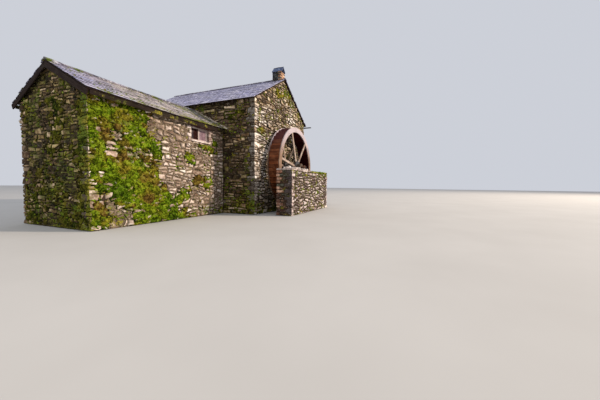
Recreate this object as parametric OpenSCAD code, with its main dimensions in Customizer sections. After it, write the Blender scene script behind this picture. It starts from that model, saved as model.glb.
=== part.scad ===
// Stone watermill with a lower range at its side and a timber waterwheel on its gable
// Millimetres, +Z up. The origin is on the ground, at the middle of the wheel gable's thickness,
// straight below the wheel shaft. -Y is the side of the wheel, and the lower range lies along -X.

/* [Mill] */
// Width of the mill across its wheel gable
mill_w = 6000; // [5200:100:8000]
// Length of the mill from gable to gable
mill_d = 8000; // [7000:100:12000]
// Height of the mill's side walls at their outer faces
mill_wall_h = 5390; // [5000:10:6500]
// Pitch of the mill's roof in degrees
mill_pitch = 31; // [27:1:38]
// Thickness of the mill's stone walls
mill_wall_t = 550; // [450:10:700]
// Largest height of a corner stone with its joint
quoin_h = 230; // [180:5:300]
// Long side of a corner stone
quoin_long = 430; // [360:10:520]
// Short side of a corner stone
quoin_short = 270; // [200:10:350]
// How far the corner stones stand out from the walls
quoin_out = 12; // [6:1:30]
// Joint between two corner stones
quoin_joint = 12; // [6:1:20]

/* [Lower range] */
// Length of the range, from the mill's side wall to its own gable
range_l = 5840; // [4500:10:9000]
// Depth of the range from front to rear
range_d = 3600; // [3000:10:4800]
// Distance of the range's front behind the wheel gable's face
range_set = 1780; // [1200:10:2600]
// Pitch of the range's roof in degrees
range_pitch = 28; // [24:1:34]
// Thickness of the range's stone walls
range_wall_t = 500; // [400:10:600]
// Clear height from the range's ridge stones up to the mill's rafter feet
ridge_clear = 30; // [10:5:150]

/* [Roofs] */
// Thickness of battens and slates together, square to the slope
roof_t = 70; // [50:5:110]
// Height of one course of slates along the slope
course_h = 260; // [180:10:340]
// How far each slate's foot stands above the head of the next slate down
slate_step = 12; // [6:1:20]
// Reach of the mill's eaves beyond its side walls
mill_eave_out = 200; // [150:10:300]
// Reach of the range's eaves beyond its walls
range_eave_out = 220; // [150:10:300]
// Reach of every roof beyond a gable
verge_out = 100; // [60:5:160]
// Length of one ridge stone
ridge_stone_l = 450; // [300:10:700]
// Width of a ridge stone on each slope
ridge_leg = 170; // [120:5:220]
// Thickness of a ridge stone
ridge_t = 30; // [20:1:45]
// Joint between two ridge stones
ridge_joint = 4; // [2:1:8]
// Depth of the rafters, square to the slope
rafter_d = 90; // [70:5:130]
// Width of the rafters
rafter_w = 65; // [50:5:90]
// Largest distance from one rafter to the next
rafter_pitch = 620; // [450:10:800]
// How far a rafter's foot stays back from the edge of the slates
foot_back = 35; // [20:5:60]
// Width of a purlin
purlin_w = 130; // [100:5:180]
// Depth of a purlin
purlin_d = 180; // [140:5:260]
// Thickness of the eave boards and bargeboards
board_t = 35; // [25:1:50]
// Depth of the eave boards
fascia_h = 130; // [90:5:180]
// Depth of the bargeboards, square to the slope
barge_h = 170; // [120:5:240]
// Width and height of the mortar fillet where the range's roof meets the mill
fillet_w = 60; // [40:5:100]

/* [Chimney] */
// Width of the stack across the ridge
stack_w = 540; // [460:10:700]
// Depth of the stack along the ridge
stack_d = 510; // [440:10:700]
// Distance of the stack behind the wheel gable's face
stack_back = 80; // [20:10:200]
// Height of the stack's top above the top of the slates at the ridge
stack_h = 350; // [250:10:700]
// Width of the square flue
flue_w = 230; // [180:10:280]
// Depth of the open flue
flue_depth = 260; // [150:10:320]
// Thickness of the two slates that lean together over the flue
cap_t = 32; // [20:2:60]
// Lean of the two slates in degrees
cap_lean = 50; // [30:1:55]
// Reach of the leaning slates beyond the stack, front and rear
cap_out = 45; // [20:5:90]

/* [Openings in the walls] */
// Width of a window's opening
window_w = 1050; // [800:10:1200]
// Height of a window's opening
window_h = 570; // [400:10:700]
// Distance of the window's head below the top of the wall
window_drop = 270; // [220:10:400]
// Distance of the window from the mill's side wall
window_off = 950; // [700:10:1500]
// Depth of the reveal outside the window's frame
reveal = 110; // [60:10:200]
// Face width of the window's outer frame
frame_w = 55; // [40:1:75]
// Depth of the window's frame
frame_d = 75; // [50:5:110]
// Width of the window's middle post
mullion_w = 50; // [35:1:70]
// Thickness of the glass
glass_t = 5; // [3:1:8]
// Height of the timber lintels
lintel_h = 120; // [90:5:170]
// Bearing of a lintel on the wall at each side
lintel_rest = 160; // [100:10:250]
// Height of a window sill
sill_h = 60; // [40:5:100]
// Reach of a sill beyond the wall's face
sill_out = 40; // [20:5:80]
// Width of the doorway
door_w = 1000; // [850:10:1200]
// Height of the doorway
door_h = 2000; // [1850:10:2200]
// Distance of the doorway from the range's gable wall
door_off = 900; // [500:10:1500]
// Thickness of the plank door
door_t = 40; // [30:1:60]
// Thickness and height of the door's ledges
ledge_t = 28; // [20:1:40]
// Height of each of the door's three ledges
ledge_h = 140; // [100:5:180]

/* [Gutter] */
// Outer radius of the half-round gutter on the mill's right eave
gutter_r = 58; // [45:1:75]
// Wall of the gutter
gutter_t = 5; // [4:1:8]
// Reach of the gutter's spout beyond the wheel gable's face
spout_out = 430; // [300:10:600]
// Width of a gutter bracket
bracket_w = 40; // [30:2:60]
// Thickness of a gutter bracket
bracket_t = 10; // [6:1:16]
// Largest distance from one gutter bracket to the next
bracket_pitch = 1500; // [1000:50:2200]

/* [Wheel pit] */
// Length of the outer pit wall
pit_l = 5400; // [4700:100:7000]
// Thickness of the outer pit wall
pit_t = 790; // [600:10:1000]
// Height of the pit wall with its coping
pit_h = 2150; // [1700:10:2250]
// Thickness of the coping slabs
coping_t = 75; // [50:5:110]
// Length of a coping slab
coping_l = 620; // [400:10:900]
// Joint between two coping slabs
coping_joint = 6; // [3:1:12]
// Clear width between the wheel and the gable
gap_inner = 150; // [100:5:250]
// Clear width between the wheel and the pit wall
gap_outer = 130; // [90:5:220]

/* [Waterwheel] */
// Radius of the wheel over its rims
wheel_r = 2130; // [1900:10:2300]
// Width of the wheel over both rims
wheel_w = 690; // [550:10:900]
// Height of the wheel shaft's centre
axle_z = 2380; // [2360:10:2600]
// Radial depth of the rims
rim_h = 250; // [200:5:320]
// Thickness of the rims and arms
rim_t = 55; // [40:1:80]
// Width and depth of the joints between the felloes of a rim
felloe_joint = 3; // [1:0.5:6]
// Number of arms on each side
arm_n = 6; // [6:1:8]
// Angle of the first arm from the level, in degrees
arm_phase = 50; // [0:1:59]
// Width of an arm
arm_w = 115; // [90:5:150]
// Number of buckets
bucket_n = 40; // [32:1:48]
// Thickness of the bucket boards
bucket_t = 22; // [16:1:30]
// Height of the upright root of a bucket above the sole
bucket_root = 85; // [60:5:110]
// Thickness of the sole boards
sole_t = 26; // [18:1:36]
// Joint between two sole boards
sole_joint = 3; // [2:1:6]
// Distance of the bucket's lip inside the rim's edge
lip_in = 12; // [5:1:30]
// Distance along the rim from a bucket's lip to the root of the next bucket
lip_gap = 20; // [10:1:60]

/* [Shaft and bearings] */
// Width of the eight-sided shaft across its flats
shaft_af = 360; // [300:10:420]
// Radius of the iron gudgeons
gudgeon_r = 36; // [28:1:45]
// Length of a gudgeon outside the shaft
gudgeon_l = 260; // [220:10:320]
// Running clearance of a gudgeon in its bearing
bearing_clear = 0.05; // [0.02:0.01:0.09]
// Iron around the bearing's bore
bearing_wall = 45; // [32:1:60]
// Length of a bearing along the shaft
bearing_l = 140; // [110:10:180]
// Width of a bearing's foot
bearing_foot = 300; // [240:10:380]
// Thickness of a bearing's foot
bearing_foot_t = 45; // [30:5:70]
// Clear length between the shaft's end and the stone under its bearing
shaft_clear = 25; // [15:5:35]
// Solid web of the hub between the shaft and an arm's end
hub_web = 24; // [16:1:40]
// Depth of the sockets that hold the arms
socket_d = 120; // [90:5:160]
// Cheek of the hub on each side of an arm
hub_cheek = 38; // [25:1:55]
// Height of the square hole in the gable for the shaft
shaft_hole = 540; // [480:10:640]
// Thickness of the shaft's iron hoops
hoop_t = 10; // [6:1:14]
// Width of the shaft's iron hoops
hoop_w = 50; // [35:5:70]

/* [Hidden] */
$fn = 240;
// Clearance where one piece is seated on or in another
seat = 0.3;
// Allowance that makes a cut run clear through a solid
through = 20;

stone = [0.60, 0.55, 0.46];
shade_stone = [0.38, 0.35, 0.28];
rubble = [0.66, 0.58, 0.55];
slate = [0.52, 0.54, 0.62];
mortar = [0.70, 0.66, 0.58];
old_timber = [0.32, 0.26, 0.18];
wet_timber = [0.34, 0.18, 0.13];
pale_timber = [0.74, 0.66, 0.62];
iron = [0.24, 0.22, 0.21];
pane = [0.45, 0.45, 0.52];

// Faces of the mill
mill_x = mill_w / 2;
front_y = -mill_wall_t / 2;
back_y = front_y + mill_d;
room_y0 = front_y + mill_wall_t;
room_y1 = back_y - mill_wall_t;
mill_tan = tan(mill_pitch);
mill_apex = mill_wall_h + mill_x * mill_tan;
mill_top = mill_apex + roof_t / cos(mill_pitch);

// The range's height hangs from the mill's eave
foot_low = mill_wall_h - (mill_eave_out - foot_back) * mill_tan - rafter_d / cos(mill_pitch);
range_half = range_d / 2;
range_tan = tan(range_pitch);
range_apex = foot_low - ridge_clear - (ridge_t + roof_t) / cos(range_pitch);
range_wall_h = range_apex - range_half * range_tan;
range_x1 = -mill_x;
range_x0 = range_x1 - range_l;
range_in_x = range_x0 + range_wall_t;
range_y0 = front_y + range_set;
range_y1 = range_y0 + range_d;
range_mid = range_y0 + range_half;

// The gutter lies on its brackets, outside the rafter feet and below them
gutter_x = mill_x + mill_eave_out - foot_back + seat + gutter_r;
gutter_z = foot_low - seat + gutter_r;

// Openings
window_x1 = range_x1 - window_off;
window_x0 = window_x1 - window_w;
window_z1 = range_wall_h - window_drop;
window_z0 = window_z1 - window_h;
door_x0 = range_in_x + door_off;
door_x1 = door_x0 + door_w;

// Wheel
wheel_back = front_y - gap_inner;
wheel_front = wheel_back - wheel_w;
pit_y1 = wheel_front - gap_outer;
pit_y0 = pit_y1 - pit_t;
rim_in = wheel_r - rim_h;
sole_r = rim_in + sole_t;
bucket_step = 360 / bucket_n;
shaft_sides = 8;
half_side = 180 / shaft_sides;
shaft_corner = shaft_af / 2 / cos(half_side);
arm_root = shaft_corner + hub_web;
hub_r = arm_root + socket_d;
bearing_h = bearing_foot_t + gudgeon_r + bearing_clear + bearing_wall / 2;
outer_bearing_y = pit_y1 - bearing_l - gudgeon_l / 2;
shaft_y0 = outer_bearing_y + gudgeon_l / 2;
shaft_y1 = front_y + mill_wall_t / 2 - gudgeon_l / 2;
inner_bearing_y = shaft_y1 + gudgeon_l / 2;

// A point at radius r and angle a
function polar(r, a) = [r * cos(a), r * sin(a)];

// A point of a roof slope: s along the slope up from the eave's edge, n square to it
function on_slope(edge, pitch, s, n) =
    edge + s * [-cos(pitch), sin(pitch)] + n * [sin(pitch), cos(pitch)];

// Number of equal bays no longer than limit in a length
function bays(length, limit) = ceil(length / limit);

// Turns a profile drawn in X and Z into a prism from y0 to y1
module along_y(y0, y1) {
    translate([0, y1, 0])
        rotate([90, 0, 0])
            linear_extrude(height = y1 - y0)
                children();
}

module block(low, high) {
    translate(low)
        cube(high - low);
}

// Section through one roof slope with its slate courses, seated on the walls; the wall's outer
// face is at half, the ridge at 0, and the courses stop where the ridge stones lie
module roof_profile(half, wall_h, pitch, out) {
    edge = [half + out, wall_h - out * tan(pitch)];
    long = (half + out) / cos(pitch);
    n = floor((long - ridge_leg) / course_h);
    teeth = [for (i = [0:n - 1]) each [
        on_slope(edge, pitch, i * course_h, roof_t),
        on_slope(edge, pitch, (i + 1) * course_h, roof_t - slate_step)
    ]];
    polygon(concat(
        [[0, wall_h + half * tan(pitch) + seat], edge + [0, seat]],
        teeth,
        [on_slope(edge, pitch, n * course_h, roof_t),
         [0, wall_h + half * tan(pitch) + roof_t / cos(pitch)]]
    ));
}

// Section through a ridge stone seated on the slates, astride the ridge
module ridge_profile(top, pitch) {
    bed = top + seat;
    x = ridge_leg * cos(pitch);
    drop = ridge_leg * sin(pitch);
    nx = ridge_t * sin(pitch);
    nz = ridge_t * cos(pitch);
    polygon([
        [0, bed], [x, bed - drop], [x + nx, bed - drop + nz],
        [0, bed + ridge_t / cos(pitch)],
        [-x - nx, bed - drop + nz], [-x, bed - drop]
    ]);
}

// Section through a board or rafter under one roof slope, between two distances from the ridge,
// measured level
module under_slope(from, to, apex, pitch, depth) {
    deep = depth / cos(pitch);
    polygon([
        [from, apex - from * tan(pitch)], [to, apex - to * tan(pitch)],
        [to, apex - to * tan(pitch) - deep], [from, apex - from * tan(pitch) - deep]
    ]);
}

// Section through a gable wall
module gable_profile(half, wall_h, pitch) {
    polygon([
        [-half, 0], [half, 0], [half, wall_h],
        [0, wall_h + half * tan(pitch)], [-half, wall_h]
    ]);
}

// Section through a side wall whose sloping top carries the roof
module wall_profile(half, t, wall_h, pitch) {
    polygon([
        [half - t, 0], [half, 0], [half, wall_h], [half - t, wall_h + t * tan(pitch)]
    ]);
}

// Stones that bond a corner at x = 0 and y = 0, with the walls on the side of +X and +Y; each turns
// its long side to one wall and the next to the other, and none reaches past walls t thick
module corner_stones(top, t) {
    n = bays(top, quoin_h);
    step = top / n;
    long = min(quoin_long, t - quoin_joint);
    for (i = [0:n - 1]) {
        reach = i % 2 == 0 ? [long, quoin_short] : [quoin_short, long];
        block([-quoin_out, -quoin_out, i * step],
              [reach[0], reach[1], (i + 1) * step - quoin_joint]);
    }
}

// A gable wall of the mill with its corner stones; out turns them to its outer face
module mill_gable(y, face, out) {
    along_y(y, y + mill_wall_t)
        gable_profile(mill_x, mill_wall_h, mill_pitch);
    for (side = [0, 1])
        mirror([side, 0, 0])
            translate([-mill_x, face, 0])
                mirror([0, out, 0])
                    corner_stones(foot_low - 2 * bracket_t, mill_wall_t);
}

module mill_front_gable() {
    color(stone)
        difference() {
            mill_gable(front_y, front_y, 0);
            block([-shaft_hole / 2, front_y - through, axle_z - shaft_hole / 2],
                  [shaft_hole / 2, room_y0 + through, axle_z + shaft_hole / 2]);
        }
}

module mill_rear_gable() {
    color(stone)
        mill_gable(room_y1, back_y, 1);
}

module mill_side() {
    color(shade_stone)
        along_y(room_y0, room_y1)
            wall_profile(mill_x, mill_wall_t, mill_wall_h, mill_pitch);
}

module mill_left_wall() {
    mirror([1, 0, 0])
        mill_side();
}

module mill_right_wall() {
    mill_side();
}

module mill_slope() {
    color(slate)
        along_y(front_y - verge_out, back_y + verge_out)
            roof_profile(mill_x, mill_wall_h, mill_pitch, mill_eave_out);
}

module mill_roof_left() {
    mirror([1, 0, 0])
        mill_slope();
}

module mill_roof_right() {
    mill_slope();
}

// A row of ridge stones between two places, with a joint after each
module ridge_row(y0, y1, top, pitch) {
    n = bays(y1 - y0, ridge_stone_l);
    step = (y1 - y0) / n;
    for (i = [0:n - 1])
        along_y(y0 + i * step, y0 + (i + 1) * step - ridge_joint)
            ridge_profile(top, pitch);
}

module mill_ridge_stones() {
    color(slate) {
        ridge_row(front_y - verge_out, front_y + stack_back, mill_top, mill_pitch);
        ridge_row(front_y + stack_back + stack_d + ridge_joint, back_y + verge_out,
                  mill_top, mill_pitch);
    }
}

// Two purlins and a ridge beam under the rafters, from gable to gable
module purlin_profile(half, apex, pitch) {
    inner = apex - rafter_d / cos(pitch) - seat;
    for (side = [0, 1])
        mirror([side, 0, 0])
            translate([half / 2, inner - half / 2 * tan(pitch)])
                rotate(-pitch)
                    translate([-purlin_w / 2, -purlin_d])
                        square([purlin_w, purlin_d]);
    polygon([
        [0, inner], [purlin_w / 2, inner - purlin_w / 2 * tan(pitch)],
        [purlin_w / 2, inner - purlin_d], [-purlin_w / 2, inner - purlin_d],
        [-purlin_w / 2, inner - purlin_w / 2 * tan(pitch)]
    ]);
}

module mill_purlins() {
    color(old_timber)
        along_y(room_y0, room_y1)
            purlin_profile(mill_x - mill_wall_t, mill_apex, mill_pitch);
}

// Pairs of rafters between a wall's inner faces, evenly spread between two gables
module rafter_pairs(y0, y1, inner_half, apex, pitch) {
    n = bays(y1 - y0, rafter_pitch);
    step = (y1 - y0) / n;
    for (i = [1:n - 1], side = [0, 1])
        mirror([side, 0, 0])
            along_y(y0 + i * step - rafter_w / 2, y0 + i * step + rafter_w / 2)
                under_slope(seat, inner_half, apex, pitch, rafter_d);
}

module mill_rafters() {
    color(old_timber)
        rafter_pairs(room_y0, room_y1, mill_x - mill_wall_t, mill_apex, mill_pitch);
}

// Turns what is drawn about the Y axis to the range's ridge; +X turns to the range's front
module to_range() {
    translate([0, range_mid, 0])
        rotate([0, 0, -90])
            children();
}

// Feet of the rafters that stand out under one eave
module foot_row(y0, y1, half, out, apex, pitch) {
    n = bays(y1 - y0, rafter_pitch);
    step = (y1 - y0) / n;
    for (i = [1:n - 1])
        along_y(y0 + i * step - rafter_w / 2, y0 + i * step + rafter_w / 2)
            under_slope(half, half + out - foot_back, apex, pitch, rafter_d);
}

module rafter_feet() {
    color(old_timber) {
        for (side = [0, 1]) {
            mirror([side, 0, 0])
                foot_row(room_y0, room_y1, mill_x, mill_eave_out, mill_apex, mill_pitch);
            to_range()
                mirror([side, 0, 0])
                    foot_row(range_in_x, range_x1, range_half, range_eave_out,
                             range_apex, range_pitch);
        }
    }
}

module mill_gutter() {
    color(iron)
        along_y(front_y - spout_out, back_y + verge_out)
            translate([gutter_x, gutter_z])
                difference() {
                    circle(r = gutter_r);
                    circle(r = gutter_r - gutter_t);
                    translate([-2 * gutter_r, 0])
                        square([4 * gutter_r, 2 * gutter_r]);
                }
}

module gutter_brackets() {
    n = bays(mill_d - bracket_w, bracket_pitch);
    step = (mill_d - bracket_w) / n;
    color(iron)
        for (i = [0:n])
            block([mill_x, front_y + i * step, gutter_z - gutter_r - bracket_t],
                  [gutter_x + gutter_r, front_y + i * step + bracket_w, gutter_z - gutter_r]);
}

module chimney_stack() {
    half = stack_w / 2;
    y0 = front_y + stack_back;
    bed = mill_top + seat;
    top = mill_top + stack_h;
    color(shade_stone)
        difference() {
            along_y(y0, y0 + stack_d)
                polygon([
                    [0, bed], [half, bed - half * mill_tan], [half, top],
                    [-half, top], [-half, bed - half * mill_tan]
                ]);
            block([-flue_w / 2, y0 + stack_d / 2 - flue_w / 2, top - flue_depth],
                  [flue_w / 2, y0 + stack_d / 2 + flue_w / 2, top + through]);
        }
}

// Two slates that lean together over the flue
module chimney_slates() {
    half = stack_w / 2;
    y0 = front_y + stack_back;
    top = mill_top + stack_h;
    wide = cap_t / sin(cap_lean);
    rise = half * tan(cap_lean);
    color(slate)
        for (side = [0, 1])
            mirror([side, 0, 0])
                along_y(y0 - cap_out, y0 + stack_d + cap_out)
                    polygon([
                        [half, top], [seat, top + rise - seat * tan(cap_lean)],
                        [seat, top + rise - (seat + wide) * tan(cap_lean)], [half - wide, top]
                    ]);
}

// The hole for a window, with the beds of its sill and lintel
module window_hole(y0, y1) {
    block([window_x0, y0 - through, window_z0], [window_x1, y1 + through, window_z1]);
}

module lintel_shape(x0, x1, z, y0, y1) {
    block([x0 - lintel_rest, y0, z], [x1 + lintel_rest, y1, z + lintel_h]);
}

module range_wall_blank(side) {
    to_range()
        mirror([side, 0, 0])
            along_y(range_in_x, range_x1)
                wall_profile(range_half, range_wall_t, range_wall_h, range_pitch);
}

// Sills of the windows: one slab a window, from the frame out past the wall's face
module sill_shape(face, out) {
    y0 = min(face + out * sill_out, face - out * (reveal + frame_d));
    y1 = max(face + out * sill_out, face - out * (reveal + frame_d));
    block([window_x0, y0, window_z0 - sill_h], [window_x1, y1, window_z0]);
}

module range_front_wall() {
    color(rubble)
        difference() {
            range_wall_blank(0);
            window_hole(range_y0, range_y0 + range_wall_t);
            lintel_shape(window_x0, window_x1, window_z1, range_y0, range_y0 + range_wall_t);
            sill_shape(range_y0, -1);
        }
}

module range_rear_wall() {
    y = range_y1 - range_wall_t;
    color(rubble)
        difference() {
            range_wall_blank(1);
            window_hole(y, range_y1);
            lintel_shape(window_x0, window_x1, window_z1, y, range_y1);
            sill_shape(range_y1, 1);
            block([door_x0, y - through, -through], [door_x1, range_y1 + through, door_h]);
            lintel_shape(door_x0, door_x1, door_h, y, range_y1);
        }
}

module range_gable() {
    color(stone)
        to_range() {
            along_y(range_x0, range_in_x)
                gable_profile(range_half, range_wall_h, range_pitch);
            for (side = [0, 1])
                mirror([side, 0, 0])
                    translate([-range_half, range_x0, 0])
                        corner_stones(range_wall_h - fascia_h, range_wall_t);
        }
}

module range_slope(side) {
    color(slate)
        to_range()
            mirror([side, 0, 0])
                along_y(range_x0 - verge_out, range_x1)
                    roof_profile(range_half, range_wall_h, range_pitch, range_eave_out);
}

module range_roof_front() {
    range_slope(0);
}

module range_roof_rear() {
    range_slope(1);
}

module range_ridge_stones() {
    color(slate)
        to_range()
            ridge_row(range_x0 - verge_out, range_x1 - fillet_w,
                      range_apex + roof_t / cos(range_pitch), range_pitch);
}

module range_purlins() {
    color(old_timber)
        to_range()
            along_y(range_in_x, range_x1)
                purlin_profile(range_half - range_wall_t, range_apex, range_pitch);
}

module range_rafters() {
    color(old_timber)
        to_range()
            rafter_pairs(range_in_x, range_x1, range_half - range_wall_t,
                         range_apex, range_pitch);
}

// Boards across the rafter feet, under the edge of the slates
module range_eave_boards() {
    at = range_half + range_eave_out - foot_back;
    color(old_timber)
        to_range()
            for (side = [0, 1])
                mirror([side, 0, 0])
                    along_y(range_x0, range_x1)
                        under_slope(at, at + board_t, range_apex, range_pitch,
                                    fascia_h * cos(range_pitch));
}

module range_bargeboards() {
    color(old_timber)
        to_range()
            for (side = [0, 1])
                mirror([side, 0, 0])
                    along_y(range_x0 - verge_out, range_x0 - verge_out + board_t)
                        under_slope(seat, range_half + range_eave_out,
                                    range_apex, range_pitch, barge_h);
}

// Three-cornered strip of mortar along the mill's side wall, on top of the range's slates
module mortar_fillet() {
    top = range_apex + roof_t / cos(range_pitch) + seat;
    end = range_half + range_eave_out;
    long = end / cos(range_pitch) + fillet_w;
    color(mortar)
        to_range()
            for (side = [0, 1])
                mirror([side, 0, 0])
                    intersection() {
                        translate([0, range_x1, top])
                            rotate([0, range_pitch, 0])
                                translate([-long, 0, 0])
                                    rotate([90, 0, 90])
                                        linear_extrude(height = 2 * long)
                                            polygon([[0, 0], [-fillet_w, 0], [0, fillet_w]]);
                        block([seat, range_x1 - 2 * fillet_w, 0], [end, range_x1 + through, mill_top]);
                    }
}

// One window frame with its middle post; y is its outer face
module window_frame(y) {
    middle = (window_x0 + window_x1) / 2;
    difference() {
        block([window_x0, y, window_z0], [window_x1, y + frame_d, window_z1]);
        block([window_x0 + frame_w, y - through, window_z0 + frame_w],
              [middle - mullion_w / 2, y + frame_d + through, window_z1 - frame_w]);
        block([middle + mullion_w / 2, y - through, window_z0 + frame_w],
              [window_x1 - frame_w, y + frame_d + through, window_z1 - frame_w]);
    }
}

module window_frames() {
    color(pale_timber) {
        window_frame(range_y0 + reveal);
        window_frame(range_y1 - reveal - frame_d);
    }
}

module window_panes() {
    middle = (window_x0 + window_x1) / 2;
    color(pane)
        for (y = [range_y0 + reveal, range_y1 - reveal - frame_d]) {
            block([window_x0 + frame_w, y + (frame_d - glass_t) / 2, window_z0 + frame_w],
                  [middle - mullion_w / 2, y + (frame_d + glass_t) / 2, window_z1 - frame_w]);
            block([middle + mullion_w / 2, y + (frame_d - glass_t) / 2, window_z0 + frame_w],
                  [window_x1 - frame_w, y + (frame_d + glass_t) / 2, window_z1 - frame_w]);
        }
}

module window_sills() {
    color(rubble) {
        sill_shape(range_y0, -1);
        sill_shape(range_y1, 1);
    }
}

module timber_lintels() {
    color(wet_timber) {
        lintel_shape(window_x0, window_x1, window_z1, range_y0, range_y0 + range_wall_t);
        lintel_shape(window_x0, window_x1, window_z1, range_y1 - range_wall_t, range_y1);
        lintel_shape(door_x0, door_x1, door_h, range_y1 - range_wall_t, range_y1);
    }
}

// Two posts and a head in the doorway
module door_frame() {
    y1 = range_y1 - reveal;
    y0 = y1 - frame_d;
    color(old_timber)
        difference() {
            block([door_x0, y0, 0], [door_x1, y1, door_h]);
            block([door_x0 + frame_w, y0 - through, -through],
                  [door_x1 - frame_w, y1 + through, door_h - frame_w]);
        }
}

// Door leaf with three ledges on its inner face
module plank_door() {
    y1 = range_y1 - reveal;
    x0 = door_x0 + frame_w + seat;
    x1 = door_x1 - frame_w - seat;
    z1 = door_h - frame_w - seat;
    color(old_timber) {
        block([x0, y1 - door_t, seat], [x1, y1, z1]);
        for (i = [0:2])
            block([x0 + frame_w, y1 - door_t - ledge_t, ledge_h + i * (z1 - 3 * ledge_h) / 2],
                  [x1 - frame_w, y1 - door_t, 2 * ledge_h + i * (z1 - 3 * ledge_h) / 2]);
    }
}

module pit_wall() {
    color(rubble)
        block([-pit_l / 2, pit_y0, 0], [pit_l / 2, pit_y1, pit_h - coping_t]);
}

// Coping slabs on the pit wall
module pit_coping() {
    n = bays(pit_l, coping_l);
    step = pit_l / n;
    color(stone)
        for (i = [0:n - 1])
            block([-pit_l / 2 + i * step, pit_y0, pit_h - coping_t],
                  [-pit_l / 2 + (i + 1) * step - coping_joint, pit_y1, pit_h]);
}

// Blocks that bring the two bearings up to the height of the shaft
module bearing_stones() {
    half = bearing_foot / 2;
    long = gudgeon_l / 2 - shaft_clear;
    bed = axle_z - bearing_h;
    color(stone) {
        block([-half, outer_bearing_y - long, pit_h],
              [half, outer_bearing_y + long, bed]);
        block([-half, inner_bearing_y - long, axle_z - shaft_hole / 2],
              [half, inner_bearing_y + long, bed]);
    }
}

// Iron bearing with a foot and a round bore; y is its middle
module bearing(y) {
    outer_r = gudgeon_r + bearing_clear + bearing_wall;
    bed = axle_z - bearing_h;
    color(iron)
        difference() {
            along_y(y - bearing_l / 2, y + bearing_l / 2) {
                translate([0, axle_z])
                    intersection() {
                        circle(r = outer_r);
                        translate([-outer_r, -bearing_h])
                            square([2 * outer_r, bearing_h + outer_r]);
                    }
                translate([-outer_r, bed])
                    square([2 * outer_r, bearing_h]);
                translate([-bearing_foot / 2, bed])
                    square([bearing_foot, bearing_foot_t]);
            }
            translate([0, y + bearing_l, axle_z])
                rotate([90, 0, 0])
                    cylinder(r = gudgeon_r + bearing_clear, h = 2 * bearing_l);
        }
}

module outer_bearing() {
    bearing(outer_bearing_y);
}

module inner_bearing() {
    bearing(inner_bearing_y);
}

// Prism about the shaft's axis from y0 to y1
module on_axle(y0, y1) {
    translate([0, 0, axle_z])
        along_y(y0, y1)
            children();
}

module octagon(flats) {
    rotate(half_side)
        circle(r = flats / 2 / cos(half_side), $fn = shaft_sides);
}

module wheel_shaft() {
    color(old_timber)
        on_axle(shaft_y0, shaft_y1)
            octagon(shaft_af);
}

module gudgeons() {
    color(iron) {
        on_axle(shaft_y0 - gudgeon_l, shaft_y0)
            circle(r = gudgeon_r);
        on_axle(shaft_y1, shaft_y1 + gudgeon_l)
            circle(r = gudgeon_r);
    }
}

module shaft_hoops() {
    color(iron)
        for (y = [shaft_y0, shaft_y1 - hoop_w])
            on_axle(y, y + hoop_w)
                difference() {
                    octagon(shaft_af + 2 * hoop_t);
                    octagon(shaft_af);
                }
}

// The arms of one side as drawn from the root of their sockets to a radius
module arm_star(to, spare) {
    for (i = [0:arm_n - 1])
        rotate(arm_phase + i * 360 / arm_n)
            translate([arm_root - spare, -arm_w / 2 - spare])
                square([to - arm_root + spare, arm_w + 2 * spare]);
}

module hub(y0) {
    difference() {
        on_axle(y0 - hub_cheek, y0 + rim_t + hub_cheek)
            difference() {
                circle(r = hub_r);
                octagon(shaft_af + 2 * seat);
            }
        on_axle(y0 - seat, y0 + rim_t + seat)
            arm_star(hub_r + through, seat);
    }
}

module hubs() {
    color(iron) {
        hub(wheel_front);
        hub(wheel_back - rim_t);
    }
}

module arms(y0) {
    color(pale_timber)
        on_axle(y0, y0 + rim_t)
            intersection() {
                arm_star(wheel_r, 0);
                circle(r = rim_in - seat);
            }
}

module arms_front() {
    arms(wheel_front);
}

module arms_rear() {
    arms(wheel_back - rim_t);
}

// A rim with a fine groove on both faces where two felloes meet; every second felloe holds an arm
module rim(y0) {
    felloe_n = 2 * arm_n;
    color(pale_timber)
        difference() {
            on_axle(y0, y0 + rim_t)
                difference() {
                    circle(r = wheel_r);
                    circle(r = rim_in);
                }
            for (y = [y0 - through, y0 + rim_t - felloe_joint])
                on_axle(y, y + through + felloe_joint)
                    for (i = [0:felloe_n - 1])
                        rotate(arm_phase + (i + 0.5) * 360 / felloe_n)
                            translate([rim_in - through, -felloe_joint / 2])
                                square([rim_h + 2 * through, felloe_joint]);
        }
}

module rim_front() {
    rim(wheel_front);
}

module rim_rear() {
    rim(wheel_back - rim_t);
}

// Boards that close the wheel's drum inside the buckets
module sole_boards() {
    joint = sole_joint / rim_in * 180 / PI;
    color(wet_timber)
        on_axle(wheel_front + rim_t, wheel_back - rim_t)
            for (i = [0:bucket_n - 1])
                polygon([
                    polar(rim_in, i * bucket_step + joint),
                    polar(sole_r, i * bucket_step + joint),
                    polar(sole_r, (i + 1) * bucket_step),
                    polar(rim_in, (i + 1) * bucket_step)
                ]);
}

// Elbow buckets: an upright root on the sole and a slanting board out to the rim
module buckets() {
    lip_r = wheel_r - lip_in;
    thick = bucket_t / sole_r * 180 / PI;
    lean = bucket_step - lip_gap / lip_r * 180 / PI;
    color(wet_timber)
        on_axle(wheel_front + rim_t, wheel_back - rim_t)
            for (i = [0:bucket_n - 1])
                rotate(i * bucket_step - thick)
                    polygon([
                        polar(sole_r + seat, 0),
                        polar(sole_r + bucket_root, 0),
                        polar(lip_r - bucket_t, -lean),
                        polar(lip_r, -lean),
                        polar(sole_r + bucket_root + bucket_t, thick),
                        polar(sole_r + seat, thick)
                    ]);
}

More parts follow.
